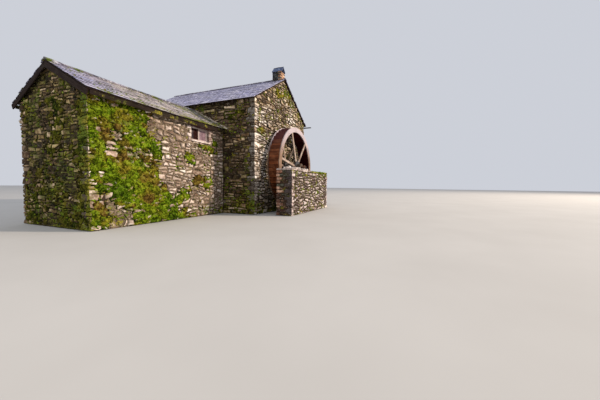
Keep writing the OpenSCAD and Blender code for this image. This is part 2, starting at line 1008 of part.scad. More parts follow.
mill_front_gable();
mill_rear_gable();
mill_left_wall();
mill_right_wall();
mill_roof_left();
mill_roof_right();
mill_ridge_stones();
mill_purlins();
mill_rafters();
mill_gutter();
gutter_brackets();
chimney_stack();
chimney_slates();
range_front_wall();
range_rear_wall();
range_gable();
range_roof_front();
range_roof_rear();
range_ridge_stones();
range_purlins();
range_rafters();
range_eave_boards();
range_bargeboards();
mortar_fillet();
rafter_feet();
window_frames();
window_panes();
window_sills();
timber_lintels();
door_frame();
plank_door();
pit_wall();
pit_coping();
bearing_stones();
outer_bearing();
inner_bearing();
wheel_shaft();
gudgeons();
shaft_hoops();
hubs();
arms_front();
arms_rear();
rim_front();
rim_rear();
sole_boards();
buckets();
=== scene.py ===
"""Looks of a stone watermill: rubble walls, slate roofs, waterwheel, windows, door and moss.

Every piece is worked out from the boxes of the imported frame. Lengths are in metres, +Z is up, and
the wheel's side of the mill looks along -Y.
"""

import math

import bmesh
import bpy
import numpy as np
from mathutils import Matrix, Vector


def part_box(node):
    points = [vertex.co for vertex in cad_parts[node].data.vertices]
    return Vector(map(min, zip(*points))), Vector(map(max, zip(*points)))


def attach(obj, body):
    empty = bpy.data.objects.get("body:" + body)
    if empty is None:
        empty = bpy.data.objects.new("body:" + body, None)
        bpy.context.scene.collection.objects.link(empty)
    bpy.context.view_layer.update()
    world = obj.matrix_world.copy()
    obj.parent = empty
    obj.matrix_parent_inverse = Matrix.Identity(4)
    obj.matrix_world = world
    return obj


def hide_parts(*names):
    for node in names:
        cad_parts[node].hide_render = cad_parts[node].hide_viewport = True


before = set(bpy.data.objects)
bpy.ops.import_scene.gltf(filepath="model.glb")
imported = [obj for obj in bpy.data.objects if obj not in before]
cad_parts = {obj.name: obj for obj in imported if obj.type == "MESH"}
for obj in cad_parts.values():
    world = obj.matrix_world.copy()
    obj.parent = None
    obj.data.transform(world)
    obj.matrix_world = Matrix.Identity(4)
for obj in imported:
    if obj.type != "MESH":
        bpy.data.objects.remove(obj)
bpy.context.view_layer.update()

# Camera, solved from the photograph
EYE = (-13.4411, -6.9091, 1.400)
LENS = 15.795
SENSOR = 36
FAR = 400
YAW = math.radians(22.604)
PITCH = math.radians(3.239)
ROLL = math.radians(0.630)

# Sizes that the boxes of the frame don't give
SHAFT_HOLE = 0.54
RIM_DEPTH = 0.25
BUCKETS = 40
BUCKET_ROOT = 0.085
BUCKET_BOARD = 0.022
LIP_IN = 0.012
LIP_GAP = 0.020
SOLE_JOINT = 0.003
ARM_WIDTH = 0.115
ARM_ROOT = 0.2188
ARMS = 6
ARM_PHASE = math.radians(50)
COURSE = 0.26
SLATE_STEP = 0.012
MILL_OVERHANG = 0.200
RANGE_OVERHANG = 0.220
VERGE = 0.10
EAVE_BOARD = 0.035
FASCIA = 0.130
BARGE = 0.170
RAFTER = 0.090
RIDGE_LEG = 0.170
RIDGE_T = 0.030
FRAME_FACE = 0.055
MULLION = 0.050
REVEAL = 0.110
FRAME_DEPTH = 0.075
GLASS = 0.005
FILLET = 0.060
FLUE = 0.230
CAP_LEAN = math.radians(50)
CAP_T = 0.032
COPINGS = 9

# Rubble
RECESS = 0.028
JOINT = 0.024
SUNK = 0.050
QUOIN_LONG = 0.430
QUOIN_SHORT = 0.270
QUOIN_H = 0.230
QUOIN_OUT = 0.012
# How far a corner's place in the rubble runs past it, and its stones' top below the eave
PAST_CORNER = 0.05
UNDER_EAVE = 0.02
# The patches that rubble is laid in and its least area, in shares of a stone's length and height
PATCH_WIDE = 3.0
PATCH_HIGH = 3.4
LEAST_STONE = 0.05
# How far a stone may shrink inside its joints, and the sizes of the small stones between
LOOSE = 0.014
PIN_SIZES = (0.015, 0.036)

# Angles in degrees over which an edge between two faces stays hard
STONE_CRISP = 42
WORN_CRISP = 60
STACK_CRISP = 45
BLOCK_CRISP = 50
SLATE_CRISP = 30
RIDGE_CRISP = 40
WOOD_CRISP = 35
BEAM_CRISP = 40

# How far apart the grain of two pieces may lie in the noise that draws it
GRAIN_REACH = 40


# Sizes read from the frame

mill_lo, mill_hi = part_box("mill_front_gable")
rear_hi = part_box("mill_rear_gable")[1]
side_lo, side_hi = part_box("mill_right_wall")
roof_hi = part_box("mill_roof_right")[1]
mill_half = mill_hi.x - QUOIN_OUT
front_y = mill_lo.y + QUOIN_OUT
back_y = rear_hi.y - QUOIN_OUT
mill_apex = mill_hi.z
mill_wall = side_hi.x - side_lo.x
mill_tan = (mill_apex - side_hi.z) / (mill_half - mill_wall)
mill_eave = mill_apex - mill_half * mill_tan
mill_cos = 1 / math.hypot(1, mill_tan)
mill_roof_t = (roof_hi.z - mill_apex) * mill_cos
mill_edge = mill_half + MILL_OVERHANG
mill_quoin_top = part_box("gutter_brackets")[0].z - 0.010

gable_lo, gable_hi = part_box("range_gable")
range_front_lo, range_front_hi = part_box("range_front_wall")
range_roof_lo, range_roof_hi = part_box("range_roof_front")
range_x0 = gable_lo.x + QUOIN_OUT
range_x1 = -mill_half
range_y0 = gable_lo.y + QUOIN_OUT
range_y1 = gable_hi.y - QUOIN_OUT
range_mid = (range_y0 + range_y1) / 2
range_half = (range_y1 - range_y0) / 2
range_apex = gable_hi.z
range_wall = range_front_hi.y - range_front_lo.y
range_tan = (range_apex - range_front_hi.z) / (range_half - range_wall)
range_eave = range_apex - range_half * range_tan
range_cos = 1 / math.hypot(1, range_tan)
range_roof_t = (range_roof_hi.z - range_apex) * range_cos
range_edge = range_half + RANGE_OVERHANG
range_quoin_top = range_eave - FASCIA

win_lo, win_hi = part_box("window_frames")
sill_lo, sill_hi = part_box("window_sills")
lintel_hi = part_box("timber_lintels")[1]
door_lo, door_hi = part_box("door_frame")
lintel_h = lintel_hi.z - win_hi.z
lintel_rest = lintel_hi.x - win_hi.x
sill_out = range_y0 - sill_lo.y

rim_lo, rim_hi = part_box("rim_front")
rear_rim_lo, rear_rim_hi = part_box("rim_rear")
sole_lo, sole_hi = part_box("sole_boards")
wheel_r = (rim_hi.z - rim_lo.z) / 2
axle_z = (rim_hi.z + rim_lo.z) / 2
rim_in = wheel_r - RIM_DEPTH
sole_r = (sole_hi.z - sole_lo.z) / 2

pit_lo, pit_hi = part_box("pit_wall")
coping_lo, coping_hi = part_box("pit_coping")
stack_lo, stack_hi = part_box("chimney_stack")
cap_lo, cap_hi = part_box("chimney_slates")


# Meshes

def unit(vector):
    vector = np.array(vector, float)
    return vector / np.linalg.norm(vector)


def lengths(rows):
    """The length of each row, as a column."""
    return np.linalg.norm(rows, axis=1, keepdims=True)


def grain_shift(rng):
    return rng.random(3) * GRAIN_REACH


class Pile:
    """Gathers closed shapes, with a few numbers for each of their points, into one mesh."""

    def __init__(self):
        self.points, self.loops, self.sizes = [], [], []
        self.tint, self.edge, self.moss, self.grain = [], [], [], []
        self.count = 0

    def add(self, points, faces, tint=0.5, edge=1.0, moss=0.0, grain=None):
        points = np.asarray(points, float)
        n = len(points)
        self.points.append(points)
        for face in faces:
            self.loops.extend(i + self.count for i in face)
            self.sizes.append(len(face))
        self.tint.append(np.broadcast_to(tint, n).astype(float))
        self.edge.append(np.broadcast_to(edge, n).astype(float))
        self.moss.append(np.broadcast_to(moss, n).astype(float))
        self.grain.append(points if grain is None else np.asarray(grain, float))
        self.count += n

    def loft(self, rings, tint=0.5, edge=1.0, moss=0.0, grain=None):
        """Adds a tube through rings with the same number of points, capped at both ends."""
        n = len(rings[0])
        last = (len(rings) - 1) * n
        faces = [tuple(range(n))[::-1]]
        for k in range(0, last, n):
            for i in range(n):
                j = (i + 1) % n
                faces.append((k + i, k + j, k + n + j, k + n + i))
        faces.append(tuple(range(last, last + n)))
        self.add(np.concatenate(rings), faces, tint, edge, moss,
                 None if grain is None else np.concatenate(grain))

    def build(self, name, material, slot, replaces=(), crisp=None, sag=None, body="building"):
        """Makes the object; faces that meet at more than crisp degrees keep a hard edge."""
        points = np.concatenate(self.points)
        if sag:
            points[:, 2] -= sag(points[:, 0])
        points[:, 2] = np.maximum(points[:, 2], 0.0)
        mesh = bpy.data.meshes.new(name)
        mesh.vertices.add(self.count)
        mesh.vertices.foreach_set("co", points.astype(np.float32).ravel())
        mesh.loops.add(len(self.loops))
        mesh.loops.foreach_set("vertex_index", np.array(self.loops, np.int32))
        mesh.polygons.add(len(self.sizes))
        starts = np.concatenate([[0], np.cumsum(self.sizes)[:-1]]).astype(np.int32)
        mesh.polygons.foreach_set("loop_start", starts)
        mesh.polygons.foreach_set("use_smooth", np.ones(len(self.sizes), bool))
        for label, kind, field, parts in (
                ("tint", "FLOAT", "value", self.tint), ("edge", "FLOAT", "value", self.edge),
                ("moss", "FLOAT", "value", self.moss),
                ("grain", "FLOAT_VECTOR", "vector", self.grain)):
            layer = mesh.attributes.new(label, kind, "POINT")
            layer.data.foreach_set(field, np.concatenate(parts).astype(np.float32).ravel())
        mesh.update(calc_edges=True)
        mesh.validate()
        work = bmesh.new()
        work.from_mesh(mesh)
        bmesh.ops.recalc_face_normals(work, faces=work.faces)
        work.to_mesh(mesh)
        work.free()
        if crisp is not None:
            mesh.set_sharp_from_angle(angle=math.radians(crisp))
        mesh.materials.append(material)
        shown(name, mesh, body, slot, replaces)


def added(name, data):
    thing = bpy.data.objects.new(name, data)
    bpy.context.scene.collection.objects.link(thing)
    return thing


def shown(name, mesh, body, slot, replaces=()):
    piece = added(name, mesh)
    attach(piece, body)
    if replaces:
        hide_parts(*replaces)


def dress(node, material):
    """Gives a CAD node that is shown as it is its material."""
    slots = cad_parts[node].data.materials
    for i in range(len(slots)):
        slots[i] = material


def chamfered(width, depth, cut):
    """The eight points of a rectangle with its corners cut, anticlockwise."""
    a, b = width / 2, depth / 2
    return np.array([
        (a, cut - b), (a, b - cut), (a - cut, b), (cut - a, b),
        (-a, b - cut), (-a, cut - b), (cut - a, -b), (a - cut, -b),
    ])


def bar(pile, start, end, side, width, depth, rng, cut=0.006, parts=3, rough=0.0015, taper=0.0,
        moss=0.0):
    """A squared piece from start to end, width along side, with cut edges and a hand-worked face.
    Taper is how unevenly it may narrow."""
    start, end = np.array(start, float), np.array(end, float)
    length = np.linalg.norm(end - start)
    along = (end - start) / length
    side = np.array(side, float)
    side = unit(side - along * (side @ along))
    up = np.cross(along, side)
    profile = chamfered(width, depth, cut)
    small = chamfered(width - 2 * cut, depth - 2 * cut, cut / 2)
    stops = np.linspace(cut, length - cut, parts + 1)
    tint = rng.random()
    shift = grain_shift(rng)
    turn = rng.normal(0, taper, 2)
    rings, grain = [], []
    for k, at in enumerate([0, *stops, length]):
        at_end = k in (0, parts + 2)
        ring = (small if at_end else profile) * (1 + (at / length - 0.5) * turn)
        if not at_end:
            ring = ring + rng.normal(0, rough, ring.shape)
        rings.append(start + along * at + np.outer(ring[:, 0], side) + np.outer(ring[:, 1], up))
        grain.append(np.column_stack([np.full(len(ring), at), ring]) + shift)
    pile.loft(rings, tint, moss=moss, grain=grain)


def prism(pile, profile, axis, start, end, rng, cut, rough, parts, moss=0.0, tint=None):
    """A profile of (level, z) points drawn out along X or Y, with its ends cut back a little."""
    profile = np.array(profile, float)
    middle = profile.mean(0)
    small = middle + (profile - middle) * (1 - cut / lengths(profile - middle))
    stops = [start, *np.linspace(start + cut, end - cut, parts + 1), end]
    tint = rng.random() if tint is None else tint
    shift = grain_shift(rng)
    rings, grain = [], []
    for k, at in enumerate(stops):
        ring = small if k in (0, parts + 2) else profile
        ring = ring + rng.normal(0, rough, ring.shape)
        place = np.full(len(ring), at)
        level, z = ring.T
        rings.append(np.column_stack([place, level, z] if axis == "x" else [level, place, z]))
        grain.append(np.column_stack([place, ring]) + shift)
    pile.loft(rings, tint, moss=moss, grain=grain)


box_forms = {}


def box_form(counts):
    """Keys of the points of a gridded box and its faces, for a number of cells on each axis."""
    if counts not in box_forms:
        index, faces = {}, []
        for axis in range(3):
            a, b = (axis + 1) % 3, (axis + 2) % 3
            for end in (0, counts[axis]):
                for i in range(counts[a]):
                    for j in range(counts[b]):
                        corners = []
                        for di, dj in ((0, 0), (1, 0), (1, 1), (0, 1)):
                            key = [0, 0, 0]
                            key[axis], key[a], key[b] = end, i + di, j + dj
                            corners.append(index.setdefault(tuple(key), len(index)))
                        faces.append(tuple(corners if end else corners[::-1]))
        box_forms[counts] = (np.array(list(index)), faces)
    return box_forms[counts]


def block(pile, low, high, rng, soft=0.015, rough=0.003, skew=0.005, parts=(1, 1, 1), moss=0.0,
          tint=None, turn=None, painted_shade_face=None):
    """A stone roughly squared: a box with rounded edges, shifted corners and an uneven face.
    Painted shade darkens one face, one that turns from the sun: (its axis, 0 or 1 for its end,
    how much of its colour it keeps)."""
    low, high = np.minimum(low, high).astype(float), np.maximum(low, high).astype(float)
    size = high - low
    soft = min(soft, 0.42 * size.min())
    keys, faces = box_form(tuple(p + 2 for p in parts))
    lines = [np.concatenate([[0], np.linspace(soft, s - soft, p + 1), [s]])
             for s, p in zip(size, parts)]
    points = np.column_stack([lines[axis][keys[:, axis]] for axis in range(3)])
    inner = np.clip(points, soft, size - soft)
    away = points - inner
    reach = lengths(away)
    points = inner + away / np.maximum(reach, 1e-9) * np.minimum(reach, soft)
    share = points / size
    for corner in np.ndindex(2, 2, 2):
        weight = np.prod(np.where(np.array(corner) == 1, share, 1 - share), axis=1)
        points = points + np.outer(weight, rng.normal(0, skew, 3))
    points = points + rng.normal(0, rough, points.shape)
    if turn is not None:
        middle = size / 2
        points = (points - middle) @ np.array(Matrix.Rotation(turn[0], 3, turn[1])).T + middle
    edge = np.where(reach[:, 0] > 1.2 * soft, 0.35, 1.0)
    # Painted shade: a lower edge number darkens the face that turns from the sun
    if painted_shade_face:
        ends = keys[:, painted_shade_face[0]] == (parts[painted_shade_face[0]] + 2) * painted_shade_face[1]
        edge = np.where(ends, painted_shade_face[2] * edge, edge)
    pile.add(low + points, faces, rng.random() if tint is None else tint, edge, moss,
             points + grain_shift(rng))


def slab(pile, place, u, s, top, thick, rng, across=3, along=2, ragged=0.005, rough=0.001,
         lean=0.0, drop=0.0, moss=0.0, chip=0.01):
    """A riven slab over u and s, its top at a height that falls by drop, with broken edges."""
    grid_u, grid_s = np.meshgrid(np.linspace(0, 1, across + 1), np.linspace(0, 1, along + 1),
                                 indexing="ij")
    side = (grid_u == 0) | (grid_u == 1)
    tail, head = grid_s == 0, grid_s == 1
    flat_u = u[0] + (u[1] - u[0]) * grid_u + rng.normal(0, ragged, grid_u.shape) * side
    flat_s = s[0] + (s[1] - s[0]) * grid_s + rng.normal(0, ragged, grid_u.shape) * (tail | head)
    flat_s = flat_s + np.abs(rng.normal(0, chip, grid_u.shape)) * (tail & side)
    upper = top + lean * (grid_u - 0.5) - drop * grid_s + rng.normal(0, rough, grid_u.shape)
    lower = upper - thick * (1 + rng.normal(0, 0.06, grid_u.shape))
    points = np.concatenate([place(flat_u.ravel(), flat_s.ravel(), upper.ravel()),
                             place(flat_u.ravel(), flat_s.ravel(), lower.ravel())])
    step, layer = along + 1, (across + 1) * (along + 1)
    faces = []
    for i in range(across):
        for j in range(along):
            a = i * step + j
            faces.append((a, a + step, a + step + 1, a + 1))
            faces.append(tuple(k + layer for k in (a, a + 1, a + step + 1, a + step)))
    rim = [i * step for i in range(across)] + [across * step + j for j in range(along)]
    rim += [i * step + along for i in range(across, 0, -1)] + list(range(along, 0, -1))
    for k, a in enumerate(rim):
        b = rim[(k + 1) % len(rim)]
        faces.append((b, a, a + layer, b + layer))
    wet = moss(grid_s.ravel()) if callable(moss) else np.full(layer, moss)
    grain = np.column_stack([flat_u.ravel(), flat_s.ravel(), upper.ravel()]) + grain_shift(rng)
    # Edge numbers carry painted light: a highlight at the tail, shadow near the head, shade under
    # the tail
    edge = np.where(tail, 0.3, np.where(head, 1.6, np.where(side, 0.7, 1.0))).ravel()
    under = np.where(tail.ravel(), -0.6, edge)
    pile.add(points, faces, rng.random(), np.concatenate([edge, under]), np.tile(wet, 2),
             np.concatenate([grain, grain - (0, 0, thick)]))


# Rubble walls

def outward(along):
    """Out of a wall whose u runs along a level direction: to the right, seen from above."""
    return np.array([along[1], -along[0], 0.0])


def on_wall(origin, along, flat, depth):
    """The points of a wall with their (u, z) in flat, that stand out of it by depth."""
    points = origin + np.outer(flat[:, 0], along) + np.outer(depth, outward(along))
    points[:, 2] += flat[:, 1]
    return points


def clip(polygon, nx, nz, limit):
    """The part of a polygon of (u, z) points where nx * u + nz * z stays under a limit."""
    kept = []
    for i, (x, z) in enumerate(polygon):
        px, pz = polygon[i - 1]
        here, before = nx * x + nz * z - limit, nx * px + nz * pz - limit
        if (here < 0) != (before < 0):
            t = before / (before - here)
            kept.append((px + t * (x - px), pz + t * (z - pz)))
        if here < 0:
            kept.append((x, z))
    return kept


def sides_of(polygon):
    """The outward unit normal and limit of each side of a convex anticlockwise polygon."""
    rows = []
    for i, (x, z) in enumerate(polygon):
        px, pz = polygon[i - 1]
        long = math.hypot(x - px, z - pz)
        nx, nz = (z - pz) / long, (px - x) / long
        rows.append((nx, nz, nx * x + nz * z))
    return rows


def beyond(sides, u, z):
    """How far a point lies outside a convex outline, below 0 inside it."""
    return max(nx * u + nz * z - limit for nx, nz, limit in sides)


def rectangle(u0, u1, z0, z1):
    return [(u0, z0), (u1, z0), (u1, z1), (u0, z1)]


def pointed(half, eave, apex):
    """The outline of a gable."""
    return [(-half, 0), (half, 0), (half, eave), (0, apex), (-half, eave)]


def area_of(polygon):
    return sum(polygon[i - 1][0] * z - x * polygon[i - 1][1]
               for i, (x, z) in enumerate(polygon)) / 2


def patches(outline, wide, high, joint, rng):
    """Divides a wall face into uneven patches, each a few stones long and high."""
    bounds = sides_of(outline)
    us, zs = [p[0] for p in outline], [p[1] for p in outline]
    seeds = []
    z = min(zs) - high * rng.random()
    while z < max(zs) + high:
        u = min(us) - wide * rng.random()
        while u < max(us) + wide:
            seeds.append((u + rng.normal(0, 0.12 * wide), z + rng.normal(0, 0.16 * high)))
            u += wide * rng.uniform(0.7, 1.3)
        z += high * rng.uniform(0.8, 1.2)
    seeds = np.array(seeds)
    squeeze = (high / wide) ** 2
    cells = []
    for i, (u, z) in enumerate(seeds):
        away = seeds - (u, z)
        far = away[:, 0] ** 2 * squeeze + away[:, 1] ** 2
        cell = rectangle(u - 2 * wide, u + 2 * wide, z - 2 * high, z + 2 * high)
        for j in np.argsort(far)[1:14]:
            nx, nz = away[j, 0] * squeeze, away[j, 1]
            long = math.hypot(nx, nz)
            nx, nz = nx / long, nz / long
            middle = (seeds[j] + seeds[i]) / 2
            cell = clip(cell, nx, nz, nx * middle[0] + nz * middle[1] - joint / 2)
        for nx, nz, limit in bounds:
            cell = clip(cell, nx, nz, limit - joint / 3)
        if len(cell) > 2:
            cells.append(cell)
    return cells


def broken(cell, wide, high, tilt, joint, rng):
    """Splits a patch into stones by slanting beds and joints until each is small enough."""
    us, zs = [p[0] for p in cell], [p[1] for p in cell]
    across, tall = max(us) - min(us), max(zs) - min(zs)
    too_tall = tall > high * rng.uniform(1.0, 1.9)
    too_long = across > wide * rng.uniform(1.0, 2.1)
    if not too_tall and not too_long:
        return [cell]
    level = too_tall and (not too_long or tall / high > across / wide * rng.uniform(0.7, 1.1))
    angle = rng.normal(0, tilt)
    share = rng.uniform(0.33, 0.67)
    if level:
        nx, nz = math.sin(angle), math.cos(angle)
        limit = nx * (min(us) + across / 2) + nz * (min(zs) + tall * share)
    else:
        nx, nz = math.cos(1.6 * angle), math.sin(1.6 * angle)
        limit = nx * (min(us) + across * share) + nz * (min(zs) + tall / 2)
    gap = joint * rng.uniform(0.3, 0.8)
    stones = []
    for part in (clip(cell, nx, nz, limit - gap), clip(cell, -nx, -nz, -limit - gap)):
        if len(part) > 2:
            stones += broken(part, wide, high, tilt, joint, rng)
    return stones


def outline_of(cell, soft, wobble, rng):
    """A stone's outline, with worn corners and sides that give way a little."""
    points = []
    for i, start in enumerate(cell):
        start, end = np.array(start), np.array(cell[(i + 1) % len(cell)])
        side = end - start
        long = math.hypot(*side)
        if long < 0.01:
            continue
        cut = min(soft * rng.uniform(0.5, 1.5) / long, 0.33)
        points.append(start + side * cut)
        if long > 0.10:
            inward = np.array([-side[1], side[0]]) / long
            points.append(start + side * rng.uniform(0.4, 0.6)
                          + inward * rng.uniform(-0.2, 1.0) * wobble)
        points.append(end - side * cut)
    return np.array(points)


def pinning(pile, base, along, at, size, face, rng, tint, moss):
    """A small stone pushed into the mortar where larger ones meet."""
    sides = 7
    turn = np.linspace(0, 2 * np.pi, sides, endpoint=False) + rng.random()
    ring = np.column_stack([1.35 * np.cos(turn), 0.75 * np.sin(turn)]) * size
    ring = ring * rng.uniform(0.75, 1.2, (sides, 1))
    flat = np.concatenate([ring, ring, 0.6 * ring]) + at
    depth = np.concatenate([np.full(sides, -SUNK), np.full(sides, face - 0.4 * size),
                            np.full(sides, face) + rng.normal(0, 0.002, sides)])
    rings = on_wall(base, along, flat, depth).reshape(3, sides, 3)
    pile.loft(rings, tint, np.repeat([0.0, 0.3, 0.9], sides), moss)


def beside(cell, holes):
    """The largest part of a cell that each hole in turn leaves."""
    for hole in holes:
        parts = [clip(cell, -nx, -nz, -limit - JOINT / 2) for nx, nz, limit in hole]
        parts = [part for part in parts if len(part) > 2]
        if not parts:
            return []
        cell = max(parts, key=area_of)
    return cell


def stone_faces(n):
    """Faces of a stone: four rings of n points from its back to its face, and a middle point."""
    faces = [(k * n + i, k * n + (i + 1) % n, (k + 1) * n + (i + 1) % n, (k + 1) * n + i)
             for k in range(3) for i in range(n)]
    faces += [(3 * n + i, 3 * n + (i + 1) % n, 4 * n) for i in range(n)]
    return faces + [tuple(range(n))[::-1]]


def rubble(pile, origin, along, outline, wide, high, seed, mossy, holes, tilt=0.10, proud=0.0,
           spread=0.010, soft=0.016, round_=0.4, tone=None, lean=0.06, pins=0.10, joint=JOINT):
    """Lays rubble over a wall face. (u, z) is origin + u * along at height z; stones stand out
    to the right of along, seen from above."""
    rng = np.random.default_rng(seed)
    origin, along = np.array(origin, float), np.array(along, float)
    blocked = [sides_of(hole) for hole in holes]
    bounds = sides_of(outline)
    cells = []
    for patch in patches(outline, PATCH_WIDE * wide, PATCH_HIGH * high, joint, rng):
        cells += broken(patch, wide, high, tilt, joint, rng)
    for cell in cells:
        cell = beside(cell, blocked)
        if len(cell) < 3 or area_of(cell) < LEAST_STONE * wide * high:
            continue
        ring = outline_of(cell, soft, 0.06 * high + 0.002, rng)
        n = len(ring)
        if n < 4:
            continue
        middle = ring.mean(0)
        reach = lengths(ring - middle)
        ring = middle + (ring - middle) * (1 - np.minimum(rng.uniform(0, LOOSE) / reach, 0.3))
        away = ring - middle
        reach = lengths(away)
        face = proud + rng.normal(0, spread)
        slant = rng.normal(0, lean, 2)
        cut = rng.uniform(0.7, 1.4) * soft
        dome = round_ * min(soft, 0.3 * reach.min()) * rng.uniform(0.6, 1.5)
        flat = np.concatenate([
            ring, ring, middle + away * np.clip(1 - cut / reach, 0.35, 1),
            middle + away * 0.5 + rng.normal(0, 0.006, ring.shape), middle[None, :]])
        depth = np.concatenate([
            np.full(n, -SUNK), face - cut + rng.normal(0, 0.004, n),
            face + rng.normal(0, 0.0035, n), face + dome + rng.normal(0, 0.005, n),
            [face + dome + rng.normal(0.002, 0.006)]])
        depth[n:] += (flat[n:] - middle) @ slant
        points = on_wall(origin, along, flat, depth)
        # Low edge numbers on a stone's sunk sides take dirt and painted shade in the paint
        edge = np.concatenate([np.zeros(n), np.full(n, 0.3), np.full(n, 0.8), np.ones(n + 1)])
        tint = rng.random()
        pile.add(points, stone_faces(n), tone(points[-1], tint) if tone else tint, edge,
                 mossy(points[-1]))
        for u, z in cell:
            size = rng.uniform(*PIN_SIZES)
            if rng.random() > pins or beyond(bounds, u, z) > -2 * size:
                continue
            if any(beyond(hole, u, z) < 2 * size for hole in blocked):
                continue
            at = origin + along * u + (0, 0, z)
            pinning(pile, origin, along, (u, z), size, proud - rng.uniform(0.002, 0.014), rng,
                    tone(at, rng.random()) if tone else rng.random(), mossy(at))


def quoins(pile, corner, along_a, along_b, top, seed, mossy, long=QUOIN_LONG, short=QUOIN_SHORT,
           high=QUOIN_H, out=QUOIN_OUT, finish=0.0, tone=None, split=0.7, painted_shade_face=None):
    """The solids' corner stones as rough blocks, many of them two thinner stones. Every second one
    is long along the first wall, the others along the second; flush stones fill up to finish."""
    rng = np.random.default_rng(seed)
    a, b = np.array([*along_a, 0.0]), np.array([*along_b, 0.0])
    count = math.ceil(top / high)
    levels = [top * i / count + rng.uniform(-0.09, 0.09) * high * (0 < i < count)
              for i in range(count + 1)]
    stones = []
    for i, (z0, z1) in enumerate(zip(levels[:-1], levels[1:])):
        reach = (long, short) if i % 2 == 0 else (short, long)
        cut = z0 + (z1 - z0) * rng.uniform(0.35, 0.65) if rng.random() < split else z1
        stones += [(z0, cut, reach, out)] + [(cut, z1, reach, out)] * (cut < z1)
    if finish > top + 0.05:
        stones.append((top, finish, (short, long), 0.0))
    zones = []
    for z0, z1, reach, proud in stones:
        reach_a, reach_b = reach[0] * rng.uniform(0.72, 1.1), reach[1] * rng.uniform(0.72, 1.1)
        stand = 0.5 * proud + rng.uniform(-0.008, 0.008)
        low = np.array([*corner, z0 + JOINT / 3]) - (a + b) * stand
        far = np.array([*corner, z1 - JOINT / 3]) + a * reach_a + b * reach_b
        wet = mossy(np.array([*corner, (z0 + z1) / 2])) + rng.normal(0, 0.06)
        tint = rng.random()
        if tone:
            tint = tone(np.array([*corner, z0]), tint)
        block(pile, low, far, rng, soft=0.026, rough=0.006, skew=0.010, parts=(3, 3, 1), moss=wet,
              tint=tint, painted_shade_face=painted_shade_face)
        zones.append((z0, z1, reach_a, reach_b))
    return zones


# Where a quoin's zone keeps its reach along the corner's first wall and along its second
FIRST, SECOND = 2, 3


def corner_holes(first, u0, last, u1, which):
    """The rectangles that the quoins of the corners at u0 and u1 take from the face between
    them; which tells whether it is the first or the second wall of both corners."""
    return ([rectangle(u0 - PAST_CORNER, u0 + zone[which], *zone[:2]) for zone in first]
            + [rectangle(u1 - zone[which], u1 + PAST_CORNER, *zone[:2]) for zone in last])


def recessed(name, node, shifts, material, slot):
    """A copy of a wall's mesh as its mortar. Each outer face near a place on an axis is set back
    behind the stones, by shifts of (axis, place, distance)."""
    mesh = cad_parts[node].data.copy()
    mesh.name = name
    mesh.materials.clear()
    mesh.materials.append(material)
    for vertex in mesh.vertices:
        for axis, at, by in shifts:
            if abs(vertex.co[axis] - at) < QUOIN_OUT + 0.002:
                vertex.co[axis] = at + by
    work = bmesh.new()
    work.from_mesh(mesh)
    bmesh.ops.remove_doubles(work, verts=work.verts, dist=0.0005)
    bmesh.ops.dissolve_degenerate(work, edges=work.edges, dist=0.0005)
    work.to_mesh(mesh)
    work.free()
    shown(name, mesh, "building", slot, [node])


# Materials

